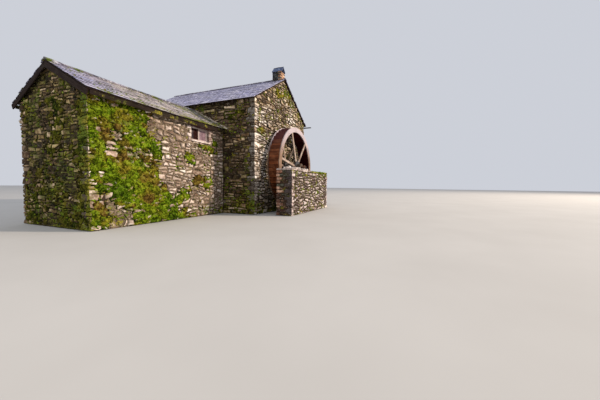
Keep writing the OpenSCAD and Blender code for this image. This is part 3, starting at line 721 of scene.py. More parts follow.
class Paint:
    """A material and short ways to join its nodes."""

    def __init__(self, name):
        self.material = bpy.data.materials.new(name)
        self.material.use_nodes = True
        self.tree = self.material.node_tree
        self.tree.nodes.clear()
        self.shader = self.new("BsdfPrincipled")
        self.put(self.new("OutputMaterial").inputs[0], self.shader.outputs[0])

    def new(self, kind, *values, **settings):
        """A node with its first inputs and some of its settings."""
        node = self.tree.nodes.new("ShaderNode" + kind)
        for label, setting in settings.items():
            setattr(node, label, setting)
        for socket, value in zip(node.inputs, values):
            self.put(socket, value)
        return node

    def put(self, socket, value):
        if isinstance(value, bpy.types.NodeSocket):
            self.tree.links.new(value, socket)
        elif isinstance(value, (tuple, list)) and len(value) == 3 and socket.type == "RGBA":
            socket.default_value = (*value, 1)
        else:
            socket.default_value = value

    def place(self):
        """Object coordinates, which move with the piece."""
        return self.new("TexCoord").outputs["Object"]

    def along(self, axis):
        """X, Y or Z of a point of a piece at rest."""
        return self.new("SeparateXYZ", self.place()).outputs[axis]

    def attribute(self, name, out="Fac"):
        return self.new("Attribute", attribute_name=name).outputs[out]

    def math(self, kind, a, b):
        return self.new("Math", a, b, operation=kind).outputs[0]

    def vector(self, kind, a, b):
        return self.new("VectorMath", a, b, operation=kind).outputs[0]

    def thrice(self, value):
        """The same number three times over, as a vector."""
        return self.new("CombineXYZ", value, value, value).outputs[0]

    def fill(self, node, **values):
        """Sets or joins inputs by their names, and leaves those whose value is None."""
        for label, value in values.items():
            if value is not None:
                self.put(node.inputs[label.replace("_", " ")], value)
        return node

    def noise(self, place, scale, detail, rough=0.55, twist=0.0):
        return self.fill(self.new("TexNoise"), Vector=place, Scale=scale, Detail=detail,
                         Roughness=rough, Distortion=twist).outputs["Fac"]

    def span(self, value, low, high, to_low=0.0, to_high=1.0):
        return self.new("MapRange", value, low, high, to_low, to_high,
                        interpolation_type="SMOOTHSTEP").outputs[0]

    def ramp(self, value, *stops):
        node = self.new("ValToRGB", value)
        line = node.color_ramp.elements
        while len(line) < len(stops):
            line.new(0.5)
        for element, (at, colour) in zip(line, stops):
            element.position = at
            element.color = (*colour, 1)
        return node.outputs[0]

    def mix(self, share, a, b, kind="MIX"):
        """Two colours mixed; the node keeps its colours in inputs 6 and 7 and output 2."""
        node = self.new("Mix", data_type="RGBA", blend_type=kind)
        self.put(node.inputs["Factor"], share)
        self.put(node.inputs[6], a)
        self.put(node.inputs[7], b)
        return node.outputs[2]

    def darker(self, share, colour, tone):
        """A colour multiplied by a tone, by a share."""
        return self.mix(share, colour, tone, "MULTIPLY")

    def shuffled(self, tint, factor):
        """Another number for each piece, between 0 and 1."""
        return self.math("FRACT", self.math("MULTIPLY", tint, factor), 0.0)

    def stirred(self, amount, *fields):
        """An amount made uneven by noises, each with its own weight."""
        for field, weight in fields:
            away = self.math("SUBTRACT", field, 0.5)
            amount = self.math("ADD", amount, self.math("MULTIPLY", away, weight))
        return amount

    def bump(self, height, distance, strength=1.0, normal=None):
        return self.fill(self.new("Bump"), Distance=distance, Strength=strength, Height=height,
                         Normal=normal).outputs[0]

    def done(self, colour, roughness, normal=None, specular=0.3):
        self.fill(self.shader, Base_Color=colour, Roughness=roughness, Metallic=0.0,
                  Specular_IOR_Level=specular, Normal=normal)
        return self.material


MOSS_DARK = (0.018, 0.026, 0.004)
MOSS_GREEN = (0.16, 0.22, 0.012)
MOSS_GOLD = (0.36, 0.31, 0.032)


def moss_colour(p, place, tufts):
    """Painted shade in deep green between the tips, which are green in some places and
    golden in others.
    """
    lit = p.mix(p.span(p.noise(place, 1.5, 3, 0.6), 0.42, 0.60), MOSS_GREEN, MOSS_GOLD)
    return p.mix(p.span(tufts, 0.34, 0.64), MOSS_DARK, lit)


def stone_paint(name, stops, lichen=0.35, dirt_and_shade=(0.020, 0.014, 0.010), stain=0.5, algae=0.0,
                worst=(0.30, 0.25, 0.22), mottle=0.85):
    """Weathered rubble: a colour for each stone, mottling, lichen, dirt and painted shade on the
    stones' sunk edges and on faces out of the sun, moss.
    """
    p = Paint(name)
    here = p.place()
    tint = p.attribute("tint")
    edge = p.attribute("edge")
    place = p.vector("ADD", here, p.vector("MULTIPLY", p.thrice(tint), (17.0, 31.0, 23.0)))
    colour = p.ramp(tint, *stops)
    shade = p.shuffled(tint, 37.7)
    colour = p.darker(p.span(shade, 0.25, 1.0, 0.0, 0.9), colour, worst)
    broad = p.noise(place, 6.0, 5, 0.62)
    colour = p.darker(p.span(broad, 0.44, 0.60, 0.0, mottle), colour, (0.32, 0.25, 0.19))
    fine = p.noise(place, 46.0, 6, 0.72)
    colour = p.darker(p.span(fine, 0.42, 0.72, 0.0, 0.65), colour, (0.42, 0.38, 0.35))
    spots = p.noise(place, 15.0, 4, 0.68, 0.6)
    colour = p.mix(p.span(spots, 0.56, 0.62, 0.0, lichen), colour, (0.86, 0.81, 0.70))
    wash = p.noise(here, 0.9, 4, 0.6)
    colour = p.darker(p.span(wash, 0.44, 0.62, 0.0, stain), colour, (0.40, 0.34, 0.27))
    if algae:
        damp = p.noise(here, 1.4, 5, 0.62, 0.4)
        colour = p.darker(p.span(damp, 0.48, 0.62, 0.0, algae), colour, (0.36, 0.46, 0.22))
    # Dirt and painted shade where the edge number is low: sunk sides and faces out of the sun
    colour = p.mix(p.span(edge, 0.10, 0.90, 0.95, 0.0), colour, dirt_and_shade)
    growth = p.noise(here, 1.9, 6, 0.66)
    tufts = p.noise(here, 30.0, 4, 0.7)
    amount = p.stirred(p.attribute("moss"), (growth, 1.6), (tufts, 0.45))
    amount = p.math("ADD", amount, p.span(edge, 0.2, 1.0, 0.12, 0.0))
    cover = p.span(amount, 0.43, 0.56)
    colour = p.mix(cover, colour, moss_colour(p, here, tufts))
    normal = p.bump(broad, 0.022, 0.7)
    normal = p.bump(fine, 0.007, 0.9, normal)
    normal = p.bump(p.math("MULTIPLY", tufts, cover), 0.016, 1.0, normal)
    return p.done(colour, p.span(fine, 0.3, 0.8, 0.80, 0.98), normal, specular=0.2)


def mortar_paint(name, light, dark, moss=0.0, lime=0.0):
    """Earth mortar with painted shade in spots that stand for open holes, smears of lime and some
    moss.
    """
    p = Paint(name)
    place = p.place()
    coarse = p.noise(place, 6.0, 6, 0.65)
    grit = p.noise(place, 90.0, 4, 0.7)
    colour = p.ramp(coarse, (0.3, dark), (0.7, light))
    colour = p.mix(p.span(grit, 0.4, 0.8, 0.0, 0.5), colour, dark)
    if lime:
        smear = p.noise(place, 2.6, 6, 0.7)
        colour = p.mix(p.span(smear, 0.56, 0.70, 0.0, lime), colour, (0.56, 0.47, 0.36))
    # Painted shade: near-black spots that stand for open holes in the joints
    holes = p.noise(place, 17.0, 3, 0.6)
    colour = p.mix(p.span(holes, 0.50, 0.60, 0.0, 0.8), colour, (0.012, 0.009, 0.007))
    if moss:
        cover = p.span(p.noise(place, 3.4, 5, 0.65), 0.62 - 0.3 * moss, 0.72 - 0.3 * moss)
        colour = p.mix(cover, colour, moss_colour(p, place, grit))
    normal = p.bump(coarse, 0.015, 0.8)
    normal = p.bump(grit, 0.004, 0.8, normal)
    return p.done(colour, 0.95, normal, specular=0.1)


def slate_paint(name, stops, moss=1.0, crust=(0.78, 0.77, 0.84), tail=0.6, cold=None):
    """Riven slate: a tint for each slate, streaks down the slope, pale lichen, a pale broken tail
    with a painted highlight, dirt and painted shadow under the next course, painted shade on the
    tail's underside, and moss at the laps. Cold turns it bluer along X: (from, to, factor)."""
    p = Paint(name)
    tint = p.attribute("tint")
    edge = p.attribute("edge")
    grain = p.attribute("grain", "Vector")
    streaked = p.vector("MULTIPLY", grain, (1.0, 0.16, 1.0))
    colour = p.ramp(tint, *stops)
    shade = p.shuffled(tint, 29.3)
    colour = p.darker(p.span(shade, 0.2, 1.0, 0.0, 0.9), colour, (0.31, 0.30, 0.38))
    streak = p.noise(streaked, 55.0, 5, 0.68, 0.4)
    patch = p.noise(grain, 5.5, 5, 0.66)
    blotch = p.noise(p.vector("MULTIPLY", p.place(), (0.6, 0.6, 2.4)), 1.7, 5, 0.7)
    colour = p.darker(p.span(blotch, 0.46, 0.62, 0.0, 0.8), colour, (0.44, 0.42, 0.54))
    colour = p.darker(p.span(streak, 0.40, 0.66, 0.0, 0.55), colour, (0.33, 0.32, 0.42))
    colour = p.mix(p.span(patch, 0.53, 0.62, 0.0, 0.75), colour, crust)
    fine = p.noise(grain, 120.0, 4, 0.7)
    colour = p.mix(p.span(fine, 0.54, 0.76, 0.0, 0.4), colour, (0.06, 0.06, 0.08))
    # Painted highlight: tail and sides turn paler, partly as a broken edge
    colour = p.mix(p.span(edge, 0.36, 0.72, tail, 0.0), colour, crust)
    if cold:
        colour = p.darker(p.span(p.along(0), cold[0], cold[1]), colour, cold[2])
    # Dirt and painted shadow under the tail of the next course
    colour = p.darker(p.span(edge, 1.02, 1.26, 0.0, 0.95), colour, (0.13, 0.12, 0.16))
    # Painted shade on the tail's thickness and underside
    colour = p.darker(p.span(edge, 0.0, 0.27, 0.95, 0.0), colour, (0.07, 0.06, 0.09))
    here = p.place()
    growth = p.noise(here, 2.0, 6, 0.66)
    tufts = p.noise(here, 30.0, 4, 0.7)
    amount = p.stirred(p.math("MULTIPLY", p.attribute("moss"), moss), (growth, 1.4), (tufts, 0.5))
    cover = p.span(amount, 0.42, 0.56)
    colour = p.mix(cover, colour, moss_colour(p, here, tufts))
    normal = p.bump(streak, 0.005, 0.8)
    normal = p.bump(patch, 0.006, 0.5, normal)
    normal = p.bump(p.math("MULTIPLY", tufts, cover), 0.012, 1.0, normal)
    return p.done(colour, p.span(streak, 0.3, 0.8, 0.50, 0.80), normal, specular=0.3)


def wood_paint(name, pale, deep, worn=(0.5, 0.47, 0.44), wear=0.3, stretch=0.05, moss=0.0,
               crack=0.5, local=True, axis=0, rough=0.8, vary=0.6, high=None, shine=0.25):
    """Weathered timber with its grain along one axis, dark cracks and a greyed, worn face.
    High turns it to another colour with height: (from, to, share, colour)."""
    p = Paint(name)
    place = p.attribute("grain", "Vector") if local else p.place()
    pull = [1.0, 1.0, 1.0]
    pull[axis] = stretch
    grained = p.vector("MULTIPLY", place, tuple(pull))
    fibre = p.noise(grained, 70.0, 6, 0.7, 0.5)
    bands = p.noise(grained, 16.0, 4, 0.6, 1.2)
    colour = p.ramp(bands, (0.30, deep), (0.70, pale))
    colour = p.darker(p.span(fibre, 0.38, 0.70, 0.0, 0.8), colour, (0.42, 0.37, 0.35))
    if local:
        each = p.span(p.attribute("tint"), 0.0, 1.0, 0.0, vary)
        colour = p.darker(each, colour, (0.40, 0.35, 0.34))
    patch = p.noise(place, 3.0, 4, 0.6)
    colour = p.mix(p.span(patch, 0.45, 0.70, 0.0, wear), colour, worn)
    split = p.span(p.noise(grained, 28.0, 3, 0.5, 0.3), 0.30, 0.36, crack, 0.0)
    colour = p.mix(split, colour, tuple(0.3 * c for c in deep))
    if high:
        colour = p.mix(p.span(p.along(2), high[0], high[1], 0.0, high[2]), colour, high[3])
    if moss:
        tufts = p.noise(place, 30.0, 4, 0.7)
        growth = p.noise(place, 3.0, 5, 0.65)
        both = p.math("ADD", p.math("MULTIPLY", growth, 0.7), p.math("MULTIPLY", tufts, 0.3))
        cover = p.span(both, 0.62 - 0.25 * moss, 0.70 - 0.25 * moss)
        colour = p.mix(cover, colour, moss_colour(p, place, tufts))
    normal = p.bump(fibre, 0.003, 0.8)
    normal = p.bump(split, 0.004, 0.6, normal)
    low, high = rough - 0.12, min(rough + 0.12, 1.0)
    return p.done(colour, p.span(fibre, 0.3, 0.8, low, high), normal, specular=shine)


def iron_paint(name, rust=0.5, base=(0.035, 0.033, 0.035)):
    """Old cast iron: dark scale with rust that spreads in patches."""
    p = Paint(name)
    place = p.place()
    patch = p.noise(place, 9.0, 6, 0.65)
    pits = p.noise(place, 110.0, 4, 0.7)
    brown = p.ramp(pits, (0.3, (0.10, 0.035, 0.014)), (0.7, (0.26, 0.11, 0.045)))
    cover = p.span(patch, 0.62 - 0.3 * rust, 0.74 - 0.3 * rust)
    normal = p.bump(pits, 0.002, 0.6)
    normal = p.bump(patch, 0.004, 0.4, normal)
    return p.done(p.mix(cover, base, brown), p.span(cover, 0.0, 1.0, 0.5, 0.9), normal,
                  specular=0.45)


def glass_paint(name, tone, roughness):
    """An old pane: a dirty film over glass, with specks and a little unevenness."""
    p = Paint(name)
    place = p.place()
    speck, dusty = (tuple(min(1.0, factor * c) for c in tone) for factor in (1.8, 2.2))
    film = p.span(p.noise(place, 5.0, 5, 0.6), 0.35, 0.75, 0.25, 0.75)
    specks = p.noise(place, 60.0, 3, 0.6)
    colour = p.mix(p.span(specks, 0.5, 0.8, 0.0, 0.4), tone, speck)
    colour = p.mix(p.span(film, 0.3, 0.7, 0.0, 0.35), colour, dusty)
    normal = p.bump(p.noise(place, 2.5, 2, 0.5), 0.01, 0.25)
    return p.done(colour, p.math("MULTIPLY", film, roughness), normal, specular=0.6)


def moss_paint(name, dark, stops, tips):
    """Cushions of moss: painted shade between the tips, in the creases, low on each cushion and in
    gaps the size of a fist, a painted highlight on their tops, and a colour for each cushion."""
    p = Paint(name)
    place = p.place()
    tint = p.attribute("tint")
    edge = p.attribute("edge")
    tufts = p.noise(place, 42.0, 5, 0.75)
    clumps = p.noise(place, 10.0, 4, 0.72, 0.6)
    broad = p.noise(place, 3.0, 4, 0.6)
    colour = p.mix(p.span(tufts, 0.34, 0.60), dark, p.ramp(tint, *stops))
    colour = p.darker(p.span(clumps, 0.46, 0.58, 0.0, 0.94), colour, (0.12, 0.13, 0.06))
    colour = p.darker(p.span(broad, 0.46, 0.66, 0.0, 0.6), colour, (0.42, 0.40, 0.30))
    # Painted shade where the edge number is low: at each cushion's rim and lower side
    colour = p.mix(p.span(edge, 0.06, 0.62, 0.96, 0.0), colour, dark)
    # Painted highlight: the tips' colour on the upper part of each cushion
    lit = p.math("MULTIPLY", p.span(edge, 0.55, 0.85), p.span(clumps, 0.40, 0.50, 0.5, 0.0))
    colour = p.mix(lit, colour, tips)
    normal = p.bump(clumps, 0.050, 0.8)
    normal = p.bump(tufts, 0.020, 1.0, normal)
    return p.done(colour, 0.97, normal, specular=0.05)


sunlit_stone = stone_paint("sunlit_stone", [
    (0.00, (0.10, 0.065, 0.035)), (0.12, (0.34, 0.23, 0.13)), (0.24, (0.78, 0.62, 0.42)),
    (0.36, (0.96, 0.84, 0.66)), (0.48, (0.20, 0.145, 0.08)), (0.60, (0.86, 0.68, 0.52)),
    (0.72, (1.00, 0.90, 0.74)), (0.82, (0.44, 0.31, 0.19)), (0.91, (1.00, 0.92, 0.82)),
    (1.00, (1.00, 0.96, 0.91))], 0.7, stain=0.3, mottle=1.0)
shaded_stone = stone_paint("shaded_stone", [
    (0.00, (0.05, 0.030, 0.015)), (0.20, (0.46, 0.30, 0.15)), (0.38, (0.80, 0.61, 0.39)),
    (0.52, (0.10, 0.063, 0.034)), (0.68, (0.60, 0.42, 0.25)), (0.84, (0.18, 0.12, 0.07)),
    (1.00, (0.92, 0.74, 0.54))], 0.3, dirt_and_shade=(0.012, 0.008, 0.005), stain=0.8, algae=0.6)
range_stone = stone_paint("range_stone", [
    (0.00, (0.26, 0.17, 0.12)), (0.15, (0.62, 0.46, 0.35)), (0.34, (0.98, 0.85, 0.73)),
    (0.50, (0.48, 0.34, 0.26)), (0.66, (1.00, 0.92, 0.84)), (0.82, (0.74, 0.57, 0.47)),
    (1.00, (0.98, 0.87, 0.80))], 0.55, dirt_and_shade=(0.050, 0.036, 0.024), stain=0.25,
    worst=(0.44, 0.38, 0.33), mottle=0.65)
# A darker stone copy for the range's gable, out of the sun: painted shade, with its own green algae
side_stone = stone_paint("side_stone", [
    (0.00, (0.04, 0.028, 0.010)), (0.25, (0.42, 0.31, 0.12)), (0.45, (0.70, 0.55, 0.27)),
    (0.60, (0.10, 0.070, 0.028)), (0.80, (0.49, 0.37, 0.16)), (1.00, (0.88, 0.70, 0.48))], 0.15,
    dirt_and_shade=(0.010, 0.008, 0.004), stain=0.8, algae=1.0)
pit_stone = stone_paint("pit_stone", [
    (0.00, (0.16, 0.11, 0.10)), (0.18, (0.80, 0.67, 0.62)), (0.38, (1.00, 0.93, 0.88)),
    (0.55, (0.34, 0.25, 0.25)), (0.72, (0.98, 0.87, 0.81)), (0.86, (0.56, 0.45, 0.45)),
    (1.00, (1.00, 0.93, 0.89))], 0.6, (0.020, 0.012, 0.012), 0.15, worst=(0.50, 0.42, 0.42),
    mottle=0.5)
# A darker copy of the pit's stone for its ends and back, out of the sun: painted shade
pit_side_stone = stone_paint("pit_side_stone", [
    (0.00, (0.06, 0.028, 0.022)), (0.20, (0.54, 0.27, 0.18)), (0.34, (0.16, 0.08, 0.065)),
    (0.40, (0.12, 0.14, 0.10)), (0.46, (0.19, 0.20, 0.15)), (0.55, (0.12, 0.058, 0.045)),
    (0.80, (0.48, 0.25, 0.165)), (1.00, (0.84, 0.55, 0.40))], 0.3)
chimney_stone = stone_paint("chimney_stone", [
    (0.00, (0.60, 0.35, 0.20)), (0.50, (0.84, 0.56, 0.37)), (1.00, (0.72, 0.47, 0.32))], 0.4,
    dirt_and_shade=(0.12, 0.07, 0.045), stain=0.1, worst=(0.66, 0.56, 0.48))
# The stack's sides and back: dark slate, darker still as painted shade out of the sun
shaded_slate_stone = stone_paint("shaded_slate_stone", [
    (0.00, (0.035, 0.045, 0.075)), (0.50, (0.13, 0.145, 0.155)), (1.00, (0.075, 0.10, 0.08))], 0.15)
lime_stone = stone_paint("lime_stone", [
    (0.00, (0.70, 0.57, 0.51)), (0.50, (0.92, 0.82, 0.77)), (1.00, (0.82, 0.70, 0.66))], 0.5,
    dirt_and_shade=(0.12, 0.08, 0.07), stain=0.2, worst=(0.60, 0.52, 0.50))
earth_mortar = mortar_paint("earth_mortar", (0.11, 0.077, 0.045), (0.018, 0.012, 0.008), 0.3,
                            0.45)
sandy_mortar = mortar_paint("sandy_mortar", (0.33, 0.25, 0.17), (0.085, 0.062, 0.042), 0.2, 0.6)
lime_mortar = mortar_paint("lime_mortar", (0.62, 0.54, 0.45), (0.34, 0.28, 0.22), 0.15)
mill_slate = slate_paint("mill_slate", [
    (0.00, (0.12, 0.11, 0.26)), (0.25, (0.58, 0.57, 0.94)), (0.50, (0.22, 0.21, 0.43)),
    (0.75, (0.85, 0.83, 1.00)), (1.00, (0.38, 0.38, 0.66))], 0.9, (0.88, 0.86, 1.00), 0.85)
range_slate = slate_paint("range_slate", [
    (0.00, (0.13, 0.10, 0.11)), (0.20, (0.43, 0.36, 0.34)), (0.40, (0.21, 0.18, 0.21)),
    (0.60, (0.66, 0.56, 0.50)), (0.75, (0.34, 0.35, 0.29)), (0.88, (0.35, 0.36, 0.43)),
    (1.00, (0.58, 0.51, 0.51))], 1.0, (0.76, 0.68, 0.64), 0.75,
    cold=(-6.8, -8.6, (0.88, 0.96, 1.32)))
cap_slate = slate_paint("cap_slate", [
    (0.00, (0.10, 0.15, 0.28)), (0.50, (0.16, 0.22, 0.38)), (1.00, (0.22, 0.29, 0.44))], 0.4,
    (0.36, 0.42, 0.56), 0.2)
ridge_slate = slate_paint("ridge_slate", [
    (0.00, (0.17, 0.16, 0.18)), (0.50, (0.32, 0.30, 0.34)), (1.00, (0.46, 0.43, 0.47))], 1.0)
old_wood = wood_paint("old_wood", (0.16, 0.12, 0.08), (0.055, 0.040, 0.028), local=False, axis=1)
# Near-black rafter feet: partly old timber, partly painted shade under the eaves
board_wood = wood_paint("board_wood", (0.070, 0.048, 0.034), (0.024, 0.016, 0.011),
                        worn=(0.11, 0.09, 0.07), wear=0.3)
# Near-black barge and roof boards: partly old timber, partly painted shade under verges and eaves
barge_wood = wood_paint("barge_wood", (0.042, 0.024, 0.018), (0.013, 0.007, 0.006),
                        worn=(0.054, 0.042, 0.026), wear=0.25, shine=0.12)
# The eave boards' dark timber is partly painted shade under the slates
mossy_wood = wood_paint("mossy_wood", (0.036, 0.022, 0.014), (0.012, 0.007, 0.006),
                        worn=(0.080, 0.068, 0.026), wear=0.30, moss=0.30, shine=0.12)
pale_wood = wood_paint("pale_wood", (0.58, 0.45, 0.36), (0.30, 0.21, 0.16),
                       worn=(0.74, 0.65, 0.58), wear=0.5, crack=0.45)
# The rims turn paler and bluer towards the top: painted skylight
rim_wood = wood_paint("rim_wood", (0.41, 0.26, 0.17), (0.13, 0.075, 0.048),
                      worn=(0.51, 0.38, 0.29), wear=0.45, crack=0.6,
                      high=(2.7, 4.1, 0.65, (0.58, 0.52, 0.58)))
wet_wood = wood_paint("wet_wood", (0.34, 0.105, 0.036), (0.11, 0.028, 0.011),
                      worn=(0.38, 0.15, 0.065), wear=0.4, rough=0.6, vary=1.0,
                      high=(3.2, 4.0, 0.80, (0.075, 0.022, 0.030)), shine=0.15)
soaked_wood = wood_paint("soaked_wood", (0.070, 0.008, 0.010), (0.020, 0.002, 0.004),
                         worn=(0.085, 0.016, 0.018), wear=0.2, rough=0.75, shine=0.05)
lintel_wood = wood_paint("lintel_wood", (0.17, 0.070, 0.050), (0.055, 0.024, 0.020), wear=0.2)
door_wood = wood_paint("door_wood", (0.17, 0.13, 0.09), (0.06, 0.045, 0.03), wear=0.3)
painted_wood = wood_paint("painted_wood", (0.78, 0.67, 0.63), (0.54, 0.44, 0.41),
                          worn=(0.88, 0.82, 0.79), wear=0.5, crack=0.4)
old_iron = iron_paint("old_iron", 0.6)
black_iron = iron_paint("black_iron", 0.25)
# Near-black left panes: painted shade of the unlit room behind them
dark_pane = glass_paint("dark_pane", (0.020, 0.006, 0.006), 0.35)
grey_pane = glass_paint("grey_pane", (0.19, 0.125, 0.15), 0.6)
green_moss = moss_paint("green_moss", (0.010, 0.013, 0.002), [
    (0.0, (0.09, 0.18, 0.004)), (0.30, (0.22, 0.35, 0.008)), (0.58, (0.31, 0.40, 0.016)),
    (0.78, (0.33, 0.29, 0.022)), (1.0, (0.25, 0.15, 0.03))], (0.48, 0.58, 0.09))
gold_moss = moss_paint("gold_moss", (0.012, 0.011, 0.002), [
    (0.0, (0.10, 0.13, 0.006)), (0.35, (0.26, 0.26, 0.012)), (0.60, (0.37, 0.30, 0.025)),
    (1.0, (0.19, 0.12, 0.02))], (0.50, 0.46, 0.08))
# A darker, duller copy of the moss for walls out of the sun: painted shade
dull_moss = moss_paint("dull_moss", (0.006, 0.007, 0.002), [
    (0.0, (0.06, 0.085, 0.006)), (0.40, (0.17, 0.18, 0.012)), (0.70, (0.21, 0.19, 0.020)),
    (1.0, (0.13, 0.10, 0.025))], (0.27, 0.28, 0.05))


# How mossy a stone at a point is, for the places where the photo shows moss

def ease(value, low, high):
    """0 at low, 1 at high, and even between."""
    return max(0.0, min(1.0, (value - low) / (high - low)))


def low_and_left(p):
    """The range's front: its left end up to the eave, below a line that falls to the right, at a
    stain under the window, and along the ground."""
    edge = -7.02 + 0.75 * min(3.95 - p[2], 1.3)
    left = ease(p[0], edge + 0.30, edge - 0.60)
    line = 3.05 - 0.214 * (p[0] + 6.06)
    low = ease(p[2], line + 0.2, line - 0.3) * ease(p[2], 1.0, 2.0)
    stain = max(0.0, 1 - abs(p[0] + 4.05) / 0.9) * ease(p[2], 2.3, 2.8) * (p[2] < win_lo.z)
    return -0.02 + max(0.50 * left, 0.29 * low, 0.41 * stain, 0.46 * ease(p[2], 1.3, 0.1))


def spot(p, x, z, wide, tall):
    """1 at the middle of an oval on the wheel gable, 0 outside it."""
    return max(0.0, 1 - math.hypot((p[0] - x) / wide, (p[2] - z) / tall))


def high_gable(p):
    """The wheel gable: thin on the right, heavy under the ridge and along the right verge, at one
    spot, and low down."""
    top = ease(p[2], 5.4, 6.6)
    verge = max(0.0, 1 - abs(p[0] - (mill_apex - p[2]) / mill_tan + 0.45) / 0.9)
    return (0.02 + 0.13 * ease(p[0], -2.2, -0.8) + 0.28 * top + 0.24 * verge
            + 0.36 * ease(p[2], 1.2, 0.1) + 0.8 * spot(p, *MOSS_SPOT)
            - 0.25 * ease(p[2], 6.5, 6.9))


def shaded_wall(p):
    """Walls out of the sun: moss high up under the eaves and low down."""
    return 0.16 + 0.16 * ease(p[2], 3.4, 4.8) + 0.30 * ease(p[2], 2.4, 0.3)


def side_wall(p):
    """The range's gable, which is green all over, most of all at the front corner."""
    return 0.34 + 0.12 * ease(p[2], 2.0, 0.2) + 0.16 * ease(p[1], range_y0 + 0.6, range_y0 + 0.2)


def top_of_pit(p):
    right = ease(p[0], -0.6, 1.2)
    return -0.14 + 0.50 * ease(p[2], 1.70, 2.0) * right + 0.40 * ease(p[2], 0.4, 0.0)


def end_of_pit(p):
    """The pit wall's ends: dark moss near the top."""
    return 0.10 + 0.26 * ease(p[2], 1.75, 1.95) + 0.2 * ease(p[2], 0.6, 0.0)


# Which stones are the palest

LIME_SPOTS = ((0.95, 5.20, 0.60, 0.50), (-2.15, 4.75, 0.95, 0.50), (-2.35, 3.20, 0.90, 0.95),
              (-2.50, 1.70, 0.65, 0.95))
MOSS_SPOT = (-2.35, 3.95, 0.62, 0.36)


def gable_tone(p, tint):
    """Paler stones where old limewash holds above the wheel and near the left corner, darker ones
    behind the wheel and high up on the left and on the right."""
    if max(spot(p, *lime) for lime in LIME_SPOTS) > 0.10 * tint:
        return 0.88 + 0.12 * tint
    if p[0] < -mill_half + 0.8 and tint > 0.35 and p[2] < 5.1:
        return 0.66 + 0.34 * tint
    if (p[2] > 5.2 and p[0] < -1.2) or (p[0] > 1.5 and p[2] > 3.6):
        return 0.52 * tint
    if math.hypot(p[0], p[2] - axle_z) < 0.9 * wheel_r:
        return 0.51 * tint
    return tint


def shaded_tone(p, tint):
    """The left wall: pale stones high up and near the ground, dark ones between."""
    if 1.6 < p[2] < 4.0 and tint > 0.45:
        return 0.47 + 0.10 * tint
    return 0.30 + 0.70 * tint if p[2] > 4.0 or p[2] < 2.7 else tint


def slab_tone(p, tint):
    """The pit wall's ends: blue-green slabs near the top, over stones darker to the front."""
    if p[2] > 1.66:
        return 0.38 + 0.10 * tint
    return tint if p[1] > pit_lo.y + 0.4 else 0.6 * tint


# Walls

PIT_CORNER = dict(long=0.36, short=0.20, high=0.15, out=0.004, split=0.2, mossy=end_of_pit)
JAMB_STONES = 4
LOOSE_STONES = 34


def opening(x0, x1, z0, z1):
    """The rectangles of an opening and of the lintel over it."""
    return [rectangle(x0, x1, z0, z1),
            rectangle(x0 - lintel_rest, x1 + lintel_rest, z1, z1 + lintel_h)]


def mill_walls():
    sunlit, shaded, rear = Pile(), Pile(), Pile()
    top, finish = mill_quoin_top, mill_eave - UNDER_EAVE
    front_left, front_right, rear_left, rear_right = (
        quoins(pile, (side * mill_half, y), (-side, 0), (0, way), top, seed, finish=finish, **kind)
        for pile, side, y, way, seed, kind in (
            # The front quoins carry painted shade on their faces that turn from the sun
            (sunlit, -1, front_y, 1, 11,
             dict(mossy=high_gable, tone=gable_tone, painted_shade_face=(0, 0, 0.35))),
            (sunlit, 1, front_y, 1, 12,
             dict(mossy=high_gable, tone=gable_tone, painted_shade_face=(0, 1, 0.5))),
            (rear, -1, back_y, -1, 13, dict(mossy=shaded_wall)),
            (rear, 1, back_y, -1, 14, dict(mossy=shaded_wall))))
    gable = pointed(mill_half, mill_eave, mill_apex)
    hole = rectangle(-SHAFT_HOLE / 2, SHAFT_HOLE / 2, axle_z - SHAFT_HOLE / 2,
                     axle_z + SHAFT_HOLE / 2)
    ends = corner_holes(front_left, -mill_half, front_right, mill_half, FIRST)
    rubble(sunlit, (0, front_y, 0), (1, 0, 0), gable, 0.42, 0.16, 21, high_gable, [hole, *ends],
           tilt=0.16, spread=0.014, tone=gable_tone, lean=0.10, soft=0.022, joint=0.028)
    ends = corner_holes(rear_right, -mill_half, rear_left, mill_half, FIRST)
    rubble(rear, (0, back_y, 0), (-1, 0, 0), gable, 0.46, 0.20, 22, shaded_wall, ends)
    half = (back_y - front_y) / 2
    middle = (back_y + front_y) / 2
    long_side = rectangle(-half, half, 0, mill_eave)
    # On the left side u runs towards -Y, and the range stands against it
    abut = [(middle - range_y1, -1), (middle - range_y0, -1), (middle - range_y0, range_eave),
            (middle - range_mid, range_apex + 0.05), (middle - range_y1, range_eave)]
    ends = corner_holes(rear_left, -half, front_left, half, SECOND)
    rubble(shaded, (-mill_half, middle, 0), (0, -1, 0), long_side, 0.50, 0.155, 23, shaded_wall,
           [abut, *ends], tilt=0.05, spread=0.014, tone=shaded_tone, lean=0.10, joint=0.030)
    ends = corner_holes(front_right, -half, rear_right, half, SECOND)
    rubble(rear, (mill_half, middle, 0), (0, 1, 0), long_side, 0.46, 0.19, 24, shaded_wall, ends,
           tilt=0.07)
    sunlit.build("mill_front_stones", sunlit_stone, "sunlit_rubble", crisp=STONE_CRISP)
    shaded.build("mill_left_stones", shaded_stone, "mossy_rubble", crisp=STONE_CRISP)
    rear.build("mill_rear_stones", shaded_stone, "mossy_rubble", crisp=STONE_CRISP)
    sides = [(0, -mill_half, RECESS), (0, mill_half, -RECESS)]
    for name, node, shifts, slot in (
            ("mill_front_mortar", "mill_front_gable", [*sides, (1, front_y, RECESS)],
             "sunlit_rubble"),
            ("mill_rear_mortar", "mill_rear_gable", [*sides, (1, back_y, -RECESS)],
             "sunlit_rubble"),
            ("mill_left_mortar", "mill_left_wall", sides, "mossy_rubble"),
            ("mill_right_mortar", "mill_right_wall", sides, "mossy_rubble")):
        recessed(name, node, shifts, earth_mortar, slot)


